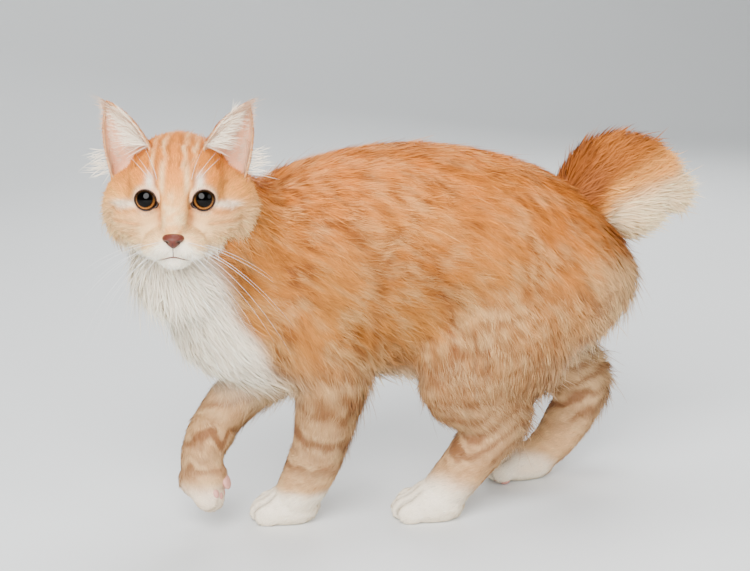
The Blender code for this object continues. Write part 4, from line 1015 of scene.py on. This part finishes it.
def ball_path(middle, radii):
    """An upright ellipsoid as a short path, so that the same map serves it."""
    x, y, z = middle
    return spine(((x, y, z + radii[2] * 0.7, radii[1], radii[0]), (x, y, z, radii[1], radii[0]),
                  (x, y, z - radii[2] * 0.7, radii[1], radii[0])))


def sphere_map(q, box):
    """A place on the map from the bearing and height of a point round the head's middle."""
    way = unit(q)
    return np.stack((box[0] + box[2] * (np.arctan2(way[:, 0], way[:, 1]) / (2 * np.pi) + 0.5),
                     box[1] + box[3] * (np.arcsin(np.clip(way[:, 2], -1, 1)) / np.pi + 0.5)), 1)


def hollows(points, quads, normals, way):
    """How hollow a surface is along the hair's way, in 1/m, and 0 where it isn't.

    Along an edge d between two points the bend is -(change of normal . d) / (d . d); a point takes the
    mean of its edges, weighed by the square of their cosine to the way, and shares it with its neighbours.
    """
    a, b = quads.ravel(), np.roll(quads, -1, 1).ravel()
    step = points[b] - points[a]
    far = np.maximum((step * step).sum(1), 1e-12)
    bend = -((normals[b] - normals[a]) * step).sum(1) / far
    size = len(points)
    weights = [(step * way[i]).sum(1) ** 2 / far for i in (a, b)]
    total = sum(np.bincount(i, w * bend, size) for i, w in zip((a, b), weights))
    k = total / np.maximum(sum(np.bincount(i, w, size) for i, w in zip((a, b), weights)), 1e-9)
    near = np.maximum(np.bincount(a, minlength=size) + np.bincount(b, minlength=size), 1)
    for _ in range(3):
        k = 0.4 * k + 0.6 * (np.bincount(a, k[b], size) + np.bincount(b, k[a], size)) / near
    return np.clip(k, 0, 160)


def coat_values(points, quads, coat, *keys):
    """What sampled passes on for a skin: its normals and the named values of its coat."""
    return {"normal": vertex_normals(points, quads), **{key: coat[key] for key in keys}}


def grow_body(points, quads, coat, look):
    """The body's coat: close, broad tufts below and finer long hairs over them."""
    values = coat_values(points, quads, coat, "way", "limb", "paw")
    # In a crease hair is shorter and stands up more, or it would run into the far side.
    hollow = hollows(points, quads, values["normal"], coat["way"])
    values["length"] = coat["length"] / (1 + 0.010 * hollow)
    values["lift"] = np.minimum(coat["lift"] + 0.75 * hollow * values["length"], 0.85)
    paths = [TRUNK_PATH, NECK_PATH] + [ball_path(*ball) for ball in BIB] + LIMB_PATHS + PAW_PATHS
    short = np.clip((0.020 - coat["length"]) / 0.015, 0, 1)
    # Little hair grows inside the head and on the feet, which have their own.
    hidden = ball_nearness(HEAD_AT + (0.006, 0.012, -0.002), 0.034, points) < 1.04
    density = (1 + 1.5 * short + 0.8 * coat["bib"] + 0.010 * hollow) * np.where(hidden, 0.05, 1.0)
    density = density * smooth(0.75, 0.45, coat["paw"])
    for name, (count, broad, longer, more) in BODY_LAYERS.items():
        root, got = sampled(points, quads, values, density, count)
        region = nearest_region(root, paths)
        length = got["length"] * longer
        width = broad * np.clip(length / 0.018, 0.45, 1.2) * np.exp(RNG.normal(0, 0.2, count))
        p, n = tufts(root, unit(got["normal"]), unit(got["way"]), length, width, got["lift"] * more,
                     uneven=0.16 * more ** 2)
        p[..., 2] = np.maximum(p[..., 2], HAIR_FLOOR)
        colour = hair_colour(lambda at: body_colour(at, got), p)
        uv = cylinder_map(paths, region, root, MAPS)
        order = np.argsort(region, kind="stable")
        coat_piece(name, p[order], n[order], colour[order], uv[order], look)


def grow_paws(paws, look):
    """The feet's short coat."""
    for name, (count, broad) in PAW_LAYERS.items():
        made = []
        for (points, quads, coat), path, box in zip(paws, PAW_PATHS, PAW_MAPS):
            values = coat_values(points, quads, coat, "way", "length", "lift", "limb", "paw", "groove")
            root, got = sampled(points, quads, values, np.where(points[:, 2] < 0.0015, 0.05, 1.0), count)
            width = broad * np.exp(RNG.normal(0, 0.2, count))
            p, n = tufts(root, unit(got["normal"]), unit(got["way"]), got["length"], width, got["lift"],
                         sink=0.0002)
            p[..., 2] = np.maximum(p[..., 2], HAIR_FLOOR)
            # Painted shade in the grooves between the toes.
            dark = (1 - 0.35 * got["groove"])[:, None]
            made.append((p, n, hair_colour(lambda at: body_colour(at, got) * dark, p, 0.12, 0.10),
                         cylinder_map([path], np.zeros(count, int), root, [box])))
        coat_piece(name, *(np.concatenate(part) for part in zip(*made)), look)


def nearest_region(points, paths):
    """The number of the path that each point is nearest to."""
    return np.stack([nearness(path, points)[0] for path in paths]).argmin(0)


def grow_head(q, quads, coat, look):
    """The head's coat: finest on the nose and round the eyes, longest on the cheeks."""
    values = coat_values(q, quads, coat, "way", "length", "lift")
    # None grows on the eyes, the nose, the mouth's line or the hollows of the ears.
    density = np.clip(0.008 / coat["length"], 0.5, 2.6)
    for side in (-1, 1):
        reach, angle, z = eye_polar(q, side)
        density = np.where((reach < opening(angle) + 0.0011) & (z > 0), 0, density)
    x, y, z = q.T
    nose = (np.abs(x) < 0.0078) & (z > -0.0305) & (z < -0.0195) & (y > 0.048)
    mouth = near_line(q, MOUTH) < 0.0009
    density = np.where(nose | mouth | (coat["hollow"] > 0.3), 0, density)
    for name, (count, broad, longer, more) in FACE_LAYERS.items():
        root, got = sampled(q, quads, values, density, count)
        length = got["length"] * longer
        width = broad * np.clip(length / 0.009, 0.55, 1.4) * np.exp(RNG.normal(0, 0.2, count))
        p, n = tufts(root, unit(got["normal"]), unit(got["way"]), length, width, got["lift"] * more,
                     swirl=0.20, sink=0.0003)
        colour = hair_colour(head_colour, p, 0.16, 0.17)
        coat_piece(name, from_head(p), n @ HEAD_TURN.T, colour, sphere_map(root, HEAD_BOX), look)


def grow_tail(points, quads, coat, look):
    """The pompom: long hair that springs from the core all round and sweeps back and over."""
    values = coat_values(points, quads, coat, "way", "length", "lift")
    density = smooth(0.126, 0.140, points[:, 0]) + 0.05
    for name, (count, broad) in TAIL_LAYERS.items():
        root, got = sampled(points, quads, values, density, count)
        width = broad * np.exp(RNG.normal(0, 0.2, count))
        length = got["length"] * (0.75 + 0.4 * RNG.random(count))
        p, n = tufts(root, unit(got["normal"]), unit(got["way"]), length, width, got["lift"], curl=0.30)
        uv = cylinder_map([TAIL_PATH], np.zeros(count, int), root, [TAIL_BOX])
        coat_piece(name, p, n, hair_colour(tail_colour, p, 0.14), uv, look)


def ear_piece(name, p, n, base, uv, look, *tones):
    """One piece of an ear's hair: tufts on the head's axes, of a plain colour or one for each."""
    base = np.broadcast_to(base, (len(p), 3))
    colour = hair_colour(lambda at: base, p, *tones)
    coat_piece(name, from_head(p), n @ HEAD_TURN.T, colour, uv, look)


def ear_map(u, v, side):
    """A place on the map for a tuft of an ear: across it by u and up by v, one ear over the other."""
    return np.stack((EAR_BOX[0] + EAR_BOX[2] * u, EAR_BOX[1] + 0.5 * EAR_BOX[3] * (v + (side > 0))), 1)


def grow_ear_back(side, name, shell, look):
    """Short hair on an ear's back and edges."""
    points, _, place, grid, normal = shell
    rows, columns = grid.shape[:2]
    size = rows * columns
    count = 4300
    v, u = place[:size, 0], place[:size, 1]
    rise = unit(np.gradient(grid, axis=0)).reshape(-1, 3)
    values = {"normal": -normal.reshape(-1, 3), "way": rise, "v": v, "u": u}
    root, got = sampled(points[size:], grid_quads(rows, columns), values, smooth(-0.15, 0.0, v) + 0.02, count)
    up = np.clip(got["v"], 0, 1)
    rim = smooth(0.10, 0.0, got["u"]) + smooth(0.90, 1.0, got["u"])
    length = (0.0060 - 0.0022 * up) * (1 - 0.45 * rim) * (1 - 0.6 * smooth(0.75, 1.0, got["v"]))
    p, n = tufts(root, unit(got["normal"]), unit(got["way"]), length, np.full(count, 0.0006),
                 0.22 - 0.14 * rim, sink=0.0002)
    base = mix(mix(PALE, ORANGE, 0.6), CREAM, 0.8 * rim)
    ear_piece("ear_back_" + name, p, n, base, ear_map(got["u"], up, side), look)


def grow_ear_hollow(side, name, shell, look):
    """Short pale hair that lies outwards all over an ear's hollow, and longer hair from its inner edge."""
    points, _, place, grid, normal = shell
    rows, columns = grid.shape[:2]
    size = rows * columns
    v, u = place[:size, 0], place[:size, 1]
    facing = normal.reshape(-1, 3)
    rise = unit(np.gradient(grid, axis=0)).reshape(-1, 3)
    out = np.broadcast_to(np.array((side * 1.0, 0.20, 0.05)), facing.shape)
    down = 0.0075 + 0.004 * smooth(0.6, 0.0, u)
    long = 0.016 + 0.016 * smooth(0.4, 0.0, u) * smooth(0.9, 0.1, v)
    edges = smooth(0.30, 0.0, u) + smooth(0.84, 1.0, u) * smooth(0.45, 0.15, v)
    for kind, count, lengths, density, lift, broad in (
            ("down", 2200, down, 0.4 + 0.6 * smooth(0.25, 0.0, u), 0.15, 0.00030),
            ("long", 300, long, edges, 0.34, 0.00034)):
        values = {"normal": facing, "way": unit(out + rise * 0.25), "length": lengths, "v": v, "u": u}
        root, got = sampled(points[:size], grid_quads(rows, columns), values,
                            density * smooth(-0.10, 0.0, v), count)
        normals = unit(got["normal"])
        p, n = tufts(root, normals, laid(got["way"], normals), got["length"], np.full(count, broad),
                     np.full(count, lift), swirl=0.16, sink=0.0002, curl=0.1)
        ear_piece(f"ear_{kind}_{name}", p, n, mix(mix(WHITE, PINK, 0.45), CREAM, 0.3),
                  ear_map(got["u"], np.clip(got["v"], 0, 1), side), look, 0.1, 0.06)


def grow_ear_fringes(side, name, grid, look):
    """Fringes from an ear's inner edge across its hollow, and from its low outer edge out to the side."""
    rows = len(grid)
    for kind, column, low, high, count, size, way, gather in (
            ("fringe", 0, 0.0, 0.70, 260, 0.019, (1.0, 0.10, 0.10), 1.0),
            ("tuft", -1, 0.04, 0.36, 55, 0.017, (1.0, -0.25, -0.16), 1.3)):
        at = low + (high - low) * RNG.random(count) ** gather
        row = (at + EAR_ROOT) / (EAR_END + EAR_ROOT) * (rows - 1)
        root = np.stack([np.interp(row, np.arange(rows), grid[:, column, axis]) for axis in range(3)], 1)
        root = root + RNG.normal(0, 0.0006, root.shape)
        facing = unit(np.array((0.1 * side, 1.0, 0.2)) + np.zeros((count, 1)))
        way = unit(np.array(way) * (side, 1, 1) + np.array((0, 0, 0.5)) * (at[:, None] - 0.2))
        length = size * (1.05 - 0.75 * at) * (0.75 + 0.5 * RNG.random(count))
        p, n = tufts(root, facing, way, length, np.full(count, 0.00030), np.full(count, 0.25), swirl=0.24)
        ear_piece(f"ear_{kind}_{name}", p, n, mix(WHITE, CREAM, 0.15),
                  ear_map((column == -1) + 0 * at, at, side), look, 0.1, 0.05)


def grow_ears(shells, look):
    """The ears' hair, piece by piece."""
    for side, shell in shells.items():
        name = "left" if side > 0 else "right"
        grow_ear_back(side, name, shell, look)
        grow_ear_hollow(side, name, shell, look)
        grow_ear_fringes(side, name, shell[3], look)


def tubes(lines, radii, sides=5):
    """Round threads along lines (threads, places, 3), of radii (threads, places), closed at both ends.

    A ring round a place of a line is place + radius (cos(angle) across + sin(angle) along).
    """
    threads, places = lines.shape[:2]
    heading = unit(np.gradient(lines, axis=1))
    across = unit(np.cross(heading, np.array((0.13, 0.21, 0.97))))
    along = np.cross(heading, across)
    angle = np.linspace(0, 2 * np.pi, sides, endpoint=False)
    rings = lines[:, :, None] + radii[..., None, None] * (
        across[:, :, None] * np.cos(angle)[:, None] + along[:, :, None] * np.sin(angle)[:, None])
    i = np.arange(threads * places * sides).reshape(threads, places, sides)
    n = np.roll(i, -1, 2)
    quads = np.stack((i[:, :-1], n[:, :-1], n[:, 1:], i[:, 1:]), -1).reshape(-1, 4)
    caps = []
    for k in range(1, sides - 1):
        caps.append(np.stack((i[:, 0, 0], i[:, 0, k + 1], i[:, 0, k]), -1))
        caps.append(np.stack((i[:, -1, 0], i[:, -1, k], i[:, -1, k + 1]), -1))
    return rings.reshape(-1, 3), quads, np.concatenate(caps)


def whiskers(look):
    """Rows of whiskers on both pads and over the eyes, sweeping out and back.

    A whisker's line is root + size (s way + s^2 bend), and its radius falls evenly to a fifth at the tip.
    """
    roots, ways, sizes, bends = [], [], [], []
    for side in (-1, 1):
        for row in range(4):
            for k in range(2 if row in (0, 3) else 3):
                x = side * (0.0100 + 0.0034 * k)
                roots.append((x, 0.0560 - 0.0040 * k - 0.0008 * row, -0.0262 - 0.0034 * row - 0.0004 * k))
                ways.append((side * 1.0, 0.12 - 0.16 * k, -0.06 - 0.27 * row - 0.06 * k))
                sizes.append(0.060 + 0.010 * k - 0.004 * abs(row - 1.5))
                bends.append((side * -0.08, -0.52 + 0.04 * k, -0.34 - 0.05 * row))
        for k in range(3):
            roots.append((side * (0.012 + 0.0032 * k), 0.036 - 0.001 * k, 0.0145 + 0.0006 * k))
            ways.append((side * (0.25 + 0.28 * k), 0.30, 1.0))
            sizes.append(0.022 - 0.002 * k)
            bends.append((side * 0.16, -0.40, 0.0))
    roots, ways, sizes, bends = (np.array(v, float) for v in (roots, ways, sizes, bends))
    count = len(roots)
    sizes = sizes * (1 + RNG.normal(0, 0.08, count))
    ways = unit(ways + RNG.normal(0, 0.06, ways.shape))
    s = np.linspace(0, 1, 16)[None, :, None]
    lines = roots[:, None] + sizes[:, None, None] * (ways[:, None] * s + bends[:, None] * s * s)
    radii = np.repeat(0.00014 * (1 - 0.80 * s[0, :, 0])[None], count, 0)
    points, quads, tris = tubes(from_head(lines), radii)
    piece("whiskers", points, quads, tris, look)


def eyeballs(look):
    """Each eye: a ball whose radius grows by a twentieth towards its axis, for the domed cornea.

    An attribute holds each point's place from the middle of the pupil, as a share of the opening.
    """
    places = 72
    rise = np.concatenate((np.linspace(0.015, 1.05, 40), np.linspace(1.12, np.pi - 0.06, 14)))
    angle = np.linspace(0, 2 * np.pi, places, endpoint=False)
    r = EYE_RADIUS * (1 + 0.055 * smooth(0.95, 0.0, rise))
    for side in (-1, 1):
        middle, out, outer, up = eye_axes(side)
        x = (r * np.sin(rise))[:, None] * np.cos(angle)
        y = (r * np.sin(rise))[:, None] * np.sin(angle)
        z = np.repeat((r * np.cos(rise))[:, None], places, 1)
        rings = middle + x[..., None] * outer + y[..., None] * up + z[..., None] * out
        points, quads, tris = closed_rings(from_head(rings), from_head(middle + out * r[0]),
                                           from_head(middle - out * EYE_RADIUS))
        ways = np.concatenate((np.stack((x, y, z), -1).reshape(-1, 3), ((0, 0, 1.0), (0, 0, -1.0))))
        off = np.arccos(np.clip(unit(ways) @ (0, np.sin(EYE_TILT), np.cos(EYE_TILT)), -1, 1))
        flat = np.stack((ways[:, 0], ways[:, 1], off * EYE_RADIUS), 1) / EYE_OPENING
        obj = piece("eyeball_left" if side > 0 else "eyeball_right", points, quads, tris, look, "eye",
                    fields={"eye_place": flat})
        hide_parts("eye_left" if side > 0 else "eye_right")


def lids(look):
    """The bare dark edges of the lids: a flattened bead round each opening, fuller at the inner corner.

    At an angle round the eye and a turn round the bead, a point is wide cos(turn) out from the opening's
    edge and tall sin(turn) in front of the ball, less a third of wide cos(turn).
    """
    places, sides = 120, 12
    angle = np.linspace(0, 2 * np.pi, places, endpoint=False)
    turn = np.linspace(0, 2 * np.pi, sides, endpoint=False)
    reach = opening(angle) + 0.0002
    height = np.sqrt(np.maximum(EYE_RADIUS ** 2 - reach ** 2, 0)) + 0.0005
    wide = (0.00040 + 0.0004 * inner_corner(angle))[:, None] * np.cos(turn)
    tall = 0.00048 * np.sin(turn)
    i = np.arange(places * sides).reshape(places, sides)
    after = np.roll(i, -1, 0)
    bead = np.stack((i, after, np.roll(after, -1, 1), np.roll(i, -1, 1)), -1).reshape(-1, 4)
    for side in (-1, 1):
        middle, out, outer, up = eye_axes(side)
        radial = outer * np.cos(angle)[:, None] + up * np.sin(angle)[:, None]
        rings = (middle + radial[:, None] * (reach[:, None] + wide)[..., None]
                 + out * (height[:, None] + tall - 0.35 * wide)[..., None])
        points = from_head(rings.reshape(-1, 3))
        centre = from_head((middle + radial * reach[:, None] + out * height[:, None]))
        outwards = dot(vertex_normals(points, bead), points - np.repeat(centre, sides, 0)).mean() > 0
        quads = bead if outwards else bead[:, ::-1]
        piece("lids_left" if side > 0 else "lids_right", points, quads, look=look)


def nose_leather(look):
    """The bare nose: a rounded wedge, wide above, with two comma nostrils and the groove between them.

    It is an ellipsoid of half sizes x, y and z that narrows downwards and falls back at both sides. Bell
    curves of the distance to each nostril, its slit and the groove sink it, and one for each wing lifts it.
    """
    places = 84
    middle, half = np.array((0, 0.0560, -0.0251)), (0.0078, 0.0062, 0.0054)
    rise = np.linspace(0, np.pi, 60)[1:-1]
    angle = np.linspace(0, 2 * np.pi, places, endpoint=False)
    sx = np.sin(rise)[:, None] * np.cos(angle)
    sz = np.sin(rise)[:, None] * np.sin(angle)
    sy = np.repeat(np.cos(rise)[:, None], places, 1)
    narrow = 0.42 + 0.58 * smooth(-0.95, 0.35, sz)
    square = 1 + 0.10 * np.sin(2 * np.arctan2(sz, sx)) ** 2
    x, z = half[0] * sx * narrow * square, half[2] * sz
    wide = np.abs(x)
    y = half[1] * sy - 0.225 * wide + 0.10 * z
    hole = np.exp(-(((wide - 0.0040) / 0.0014) ** 2 + ((z + 0.0004) / 0.0012) ** 2))
    slit = np.exp(-(((wide - 0.0056) / 0.0015) ** 2 + ((z + 0.0016 - 0.2 * (wide - 0.0056)) / 0.0006) ** 2))
    groove = np.exp(-(x / 0.0005) ** 2) * smooth(0.0010, -0.0020, z)
    front = smooth(0.0, 0.3, sy)
    dent = front * (0.0026 * hole + 0.0016 * slit + 0.0007 * groove)
    wing = front * 0.0009 * np.exp(-(((wide - 0.0046) / 0.0026) ** 2 + ((z - 0.0018) / 0.0012) ** 2))
    grid = np.stack((x, middle[1] + y + wing - dent, middle[2] + z), -1)
    # Painted shade in the nostrils, their slits and the groove, from the same bell curves.
    dark = np.clip(front * (hole + slit + 0.5 * groove), 0, 1)
    points, quads, tris = closed_rings(from_head(grid), from_head(middle + (0, half[1], 0)),
                                       from_head(middle - (0, half[1], 0)))
    shade = np.concatenate((dark.ravel(), (0, 0)))
    obj = piece("nose_leather", points, quads, tris, look, "nose",
                fields={"dark": np.repeat(shade[:, None], 3, 1)})
    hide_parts("nose")


def lips(look):
    """The dark line of the lips, just inside the mouth's crease, and the one from the nose down to it."""
    lines = np.stack((MOUTH + (0, -0.0006, 0), under_nose((0.0592, 0.0568), (-0.0300, -0.0366))))
    mouth = 0.00062 * (1 - 0.92 * (np.abs(MOUTH_X) / MOUTH_HALF) ** 1.2)
    points, quads, tris = tubes(from_head(lines), np.stack((mouth, 0 * mouth + 0.00032)), 8)
    piece("lips", points, quads, tris, look)


def pads(look):
    """The soles' bare pads: one broad pad and four toe pads under each foot."""
    parts = []
    for paw in PAWS:
        heel, toes, ahead, side, up = paw_axes(paw)
        height = paw[3]
        turn = np.stack((ahead, side, up), 1)
        # A foot that is down rests on its pads; the lifted one points its sole to the rear.
        flat = paw[4][0] == 0
        at = heel * 0.45 + toes * 0.55 - up * (height * (0.80 if flat else 0.92))
        if flat:
            at[2] = 0.0030
        parts.append(ellipsoid(at, (0.0062, 0.0075, 0.0028), turn, 16))
        for at in toe_places(paw, 0.66, 0.002) - up * height * 0.5:
            if flat:
                at[2] = 0.0026
            parts.append(ellipsoid(at, (0.0042, 0.0032, 0.0024), turn, 14))
    points, quads, tris = joined(parts)
    points[:, 2] = np.maximum(points[:, 2], PAD_FLOOR)
    piece("pads", points, quads, tris, look, "nose")


def feed(tree, target, inputs):
    """Sets a node's inputs to plain values, or links them to the outputs given for them."""
    for key, value in inputs.items():
        if isinstance(value, bpy.types.NodeSocket):
            tree.links.new(value, target.inputs[key])
        else:
            target.inputs[key].default_value = value
    return target


def node(tree, kind, inputs, operation=None):
    """A new node of a tree, with its inputs fed."""
    made = tree.nodes.new("ShaderNode" + kind)
    if operation:
        made.operation = operation
    return feed(tree, made, inputs)


def attribute(look, name, output):
    """The output of a node that reads an attribute of the mesh."""
    made = look.node_tree.nodes.new("ShaderNodeAttribute")
    made.attribute_name = name
    return made.outputs[output]


def new_look(name, roughness, **sockets):
    """A material with plain values on its shader's own sockets."""
    look = bpy.data.materials.new(name)
    look.use_nodes = True
    values = {key.replace("_", " "): value for key, value in sockets.items()}
    feed(look.node_tree, look.node_tree.nodes["Principled BSDF"], {"Roughness": roughness, **values})
    return look


def detail_group():
    """A group that varies a colour in light and dark by noise, and gives that noise as a height for bumps."""
    group = bpy.data.node_groups.new("fine_variation", "ShaderNodeTree")
    for name, end, kind in (("Colour", "INPUT", "Color"), ("Scale", "INPUT", "Float"),
                            ("Amount", "INPUT", "Float"), ("Colour", "OUTPUT", "Color"),
                            ("Height", "OUTPUT", "Float")):
        group.interface.new_socket(name, in_out=end, socket_type="NodeSocket" + kind)
    given = group.nodes.new("NodeGroupInput").outputs
    place = node(group, "TexCoord", {}).outputs["Object"]
    fine = node(group, "TexNoise", {"Vector": place, "Scale": given["Scale"], "Detail": 5}).outputs["Fac"]
    # The colour is made 1 + amount * (noise - 1/2) times as bright.
    bright = node(group, "Math", {0: fine, 1: given["Amount"], 2: 1.0}, "MULTIPLY_ADD").outputs[0]
    bright = node(group, "Math", {0: given["Amount"], 1: -0.5, 2: bright}, "MULTIPLY_ADD").outputs[0]
    tone = node(group, "HueSaturation", {"Value": bright, "Color": given["Colour"]}).outputs["Color"]
    feed(group, group.nodes.new("NodeGroupOutput"), {"Colour": tone, "Height": fine})
    return group


def add_detail(look, group, source, scale, amount, bump=0.0, depth=0.0004):
    """Puts the group before a material's colour, plain or a node's output, and its height into a bump."""
    tree = look.node_tree
    part = tree.nodes.new("ShaderNodeGroup")
    part.node_tree = group
    colour = (*source, 1.0) if isinstance(source, tuple) else source
    feed(tree, part, {"Colour": colour, "Scale": scale, "Amount": amount})
    shader = feed(tree, tree.nodes["Principled BSDF"], {"Base Color": part.outputs["Colour"]})
    if bump:
        relief = node(tree, "Bump", {"Strength": bump, "Distance": depth, "Height": part.outputs["Height"]})
        feed(tree, shader, {"Normal": relief.outputs["Normal"]})
    return look


def eye_look():
    """The eye: a wide black pupil, an amber ring with fine spokes and a dark outer ring.

    The ring has painted shade of the upper lid above and painted light below.
    """
    look = new_look("eye_wet", 0.05, IOR=1.26, Specular_IOR_Level=0.35)
    tree = look.node_tree
    place = node(tree, "SeparateXYZ", {0: attribute(look, "eye_place", "Vector")}).outputs
    # A ramp ends at 1 and the outer ring lies past it, so the distance is brought down first.
    shrink = 0.8
    stops = ((0.0, (0.002, 0.001, 0.001)), (0.71, (0.003, 0.002, 0.001)), (0.76, (0.10, 0.036, 0.009)),
             (0.84, (0.34, 0.135, 0.030)), (0.91, (0.40, 0.165, 0.040)), (0.99, (0.09, 0.034, 0.012)),
             (1.10, (0.008, 0.005, 0.004)))
    far = node(tree, "Math", {0: place["Z"], 1: shrink}, "MULTIPLY").outputs[0]
    ramp = node(tree, "ValToRGB", {"Fac": far})
    marks = ramp.color_ramp.elements
    while len(marks) < len(stops):
        marks.new(0.5)
    for mark, (at, rgb) in zip(marks, stops):
        mark.position = at * shrink
        mark.color = (*rgb, 1.0)
    # Spokes: noise on the bearing alone. Painted lid shade darkens the ring above; painted light brightens it
    # below.
    flat = node(tree, "CombineXYZ", {"X": place["X"], "Y": place["Y"]}).outputs[0]
    bearing = node(tree, "VectorMath", {0: flat}, "NORMALIZE").outputs[0]
    spokes = node(tree, "TexNoise", {"Vector": bearing, "Scale": 9.0, "Detail": 6.0}).outputs["Fac"]
    light = node(tree, "MapRange", {"Value": spokes, "From Min": 0.25, "From Max": 0.75,
                                    "To Min": 0.62, "To Max": 1.35}).outputs[0]
    low = node(tree, "MapRange", {"Value": place["Y"], "From Min": 0.35, "From Max": -0.9,
                                  "To Min": 0.06, "To Max": 1.05}).outputs[0]
    both = node(tree, "Math", {0: light, 1: low}, "MULTIPLY").outputs[0]
    tone = node(tree, "HueSaturation", {"Color": ramp.outputs["Color"], "Value": both})
    feed(tree, tree.nodes["Principled BSDF"], {"Base Color": tone.outputs["Color"]})
    return look


def nose_look(group):
    """The nose's leather: brick pink, with painted shade in the nostrils, and a fine pebbled grain."""
    look = new_look("nose_leather_look", 0.50, Specular_IOR_Level=0.35)
    blend = look.node_tree.nodes.new("ShaderNodeMix")
    blend.data_type = "RGBA"
    feed(look.node_tree, blend, {"Factor": attribute(look, "dark", "Fac"), 6: (0.100, 0.020, 0.011, 1.0),
                                 7: (0.020, 0.006, 0.004, 1.0)})
    return add_detail(look, group, blend.outputs[2], 1400.0, 0.30, 0.35, 0.00025)


def ear_colour(q, place):
    """Inside of an ear: pink, with cream towards its edges and a few ruddy flecks; its back is ginger."""
    v, u, front = place.T
    edge = smooth(0.22, 0.0, u) + smooth(0.80, 1.0, u)
    rgb = mix(PINK, CREAM, np.clip(0.35 + 0.55 * edge + 0.35 * smooth(0.7, 1.0, v), 0, 1))
    fleck = smooth(0.66, 0.80, noise(q + 2.0, 0.0030, 31)) * smooth(0.35, 0.7, v)
    rgb = mix(rgb, (0.45, 0.13, 0.08), 0.5 * fleck)
    return mix(mix(ORANGE, DEEP, 0.2 * np.ones(len(q))), rgb, front)


def placed(name, data, at, way):
    """A lamp or camera that looks a given way."""
    obj = bpy.data.objects.new(name, data)
    obj.location = at
    obj.rotation_euler = Vector(way).to_track_quat("-Z", "Y").to_euler()
    bpy.context.scene.collection.objects.link(obj)
    return obj


def studio(floor_look):
    """The pale floor, four soft lamps, an even surround and the photo's camera.

    The floor is one profile carried sideways: level, then a quarter circle of radius bend, then upright.
    """
    reach, bend, flat, under = 4.0, 1.2, 1.6, 0.0002
    across = np.linspace(-reach, reach, 25)
    turn = np.linspace(0, np.pi / 2, 16)
    run = np.concatenate(((-reach, -reach / 2, 0.0), flat + bend * np.sin(turn), (flat + bend,)))
    rise = np.concatenate(((0, 0, 0), bend - bend * np.cos(turn), (reach,))) - under
    grid = np.stack(np.broadcast_arrays(across[:, None], run, rise), -1)
    quads = np.roll(grid_quads(*grid.shape[:2])[:, ::-1], 1, axis=1)
    floor = piece("floor", grid.reshape(-1, 3), quads, look=floor_look, slot=None, shift=False)
    target = Vector(LAMP_AIM)
    for name, (at, wide, power) in LAMPS.items():
        lamp = bpy.data.lights.new(name, "AREA")
        lamp.shape = "DISK"
        lamp.size = wide
        lamp.energy = power
        placed(name, lamp, at, target - Vector(at))
    world = bpy.data.worlds.new("even_light")
    world.use_nodes = True
    feed(world.node_tree, world.node_tree.nodes["Background"],
         {"Color": (0.93, 0.95, 1.0, 1.0), "Strength": 0.22})
    bpy.context.scene.world = world
    lens = bpy.data.cameras.new("photo_camera")
    lens.sensor_width = CAMERA_SENSOR
    lens.lens = CAMERA_LENS
    lens.clip_start = 0.05
    back = np.array((np.sin(CAMERA_TURN) * np.cos(CAMERA_RISE), -np.cos(CAMERA_TURN) * np.cos(CAMERA_RISE),
                     np.sin(CAMERA_RISE)))
    at = np.array(CAMERA_AIM) + SHIFT + back * CAMERA_FAR
    bpy.context.scene.camera = placed("photo_camera", lens, at, -back)


def one_skin(body, head, tail, ears, paws, look):
    """All skins as one piece, which takes the place of the solids' flesh."""
    # The head's axes are a mirrored set, so its faces are turned round when it is put in place.
    points = [body[0], from_head(head[0]), tail[0]]
    quads = [body[1], head[1][:, ::-1], tail[1]]
    colour = [body_colour(body[0], body[2]), head_colour(head[0]), tail_colour(tail[0])]
    for shell in ears.values():
        points.append(from_head(shell[0]))
        quads.append(shell[1][:, ::-1])
        colour.append(ear_colour(shell[0], shell[2]))
    for place, faces, coat in paws:
        points.append(place)
        quads.append(faces)
        # Painted shade in the grooves between the toes.
        colour.append(body_colour(place, coat) * (1 - 0.4 * coat["groove"])[:, None])
    starts = np.cumsum([0] + [len(p) for p in points[:-1]])
    skin = piece("skin", np.concatenate(points), np.concatenate([q + s for q, s in zip(quads, starts)]),
                 look=look, colour=np.concatenate(colour))
    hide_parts("head", "neck", "torso", "tail", "ear_left", "ear_right",
                "foreleg_left", "foreleg_right", "forepaw_left", "forepaw_right",
                "hindleg_left", "hindleg_right", "hindpaw_left", "hindpaw_right")


def main():
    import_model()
    group = detail_group()
    hair_look = new_look("coat_hair", 0.62, Specular_IOR_Level=0.15)
    add_detail(hair_look, group, attribute(hair_look, "coat_colour", "Color"), 260.0, 0.22)
    skin_look = new_look("skin_and_short_coat", 0.85)
    add_detail(skin_look, group, attribute(skin_look, "coat_colour", "Color"), 900.0, 0.35, 0.5)
    plain = {name: add_detail(new_look(name, roughness), group, *values)
             for name, (roughness, *values) in PLAIN_LOOKS.items()}

    body, head, tail = body_skin(), head_skin(), tail_skin()
    paws = [paw_skin(k) for k in range(4)]
    ears = {side: ear_shell(side) for side in (-1, 1)}
    one_skin(body, head, tail, ears, paws, skin_look)
    eyeballs(eye_look())
    lids(plain["lid_skin"])
    nose_leather(nose_look(group))
    lips(plain["lip_skin"])
    pads(plain["pad_skin"])
    grow_body(*body, hair_look)
    grow_paws(paws, hair_look)
    grow_head(*head, hair_look)
    grow_tail(*tail, hair_look)
    grow_ears(ears, hair_look)
    whiskers(plain["whisker_white"])
    studio(plain["studio_floor"])
    bpy.context.view_layer.update()


main()
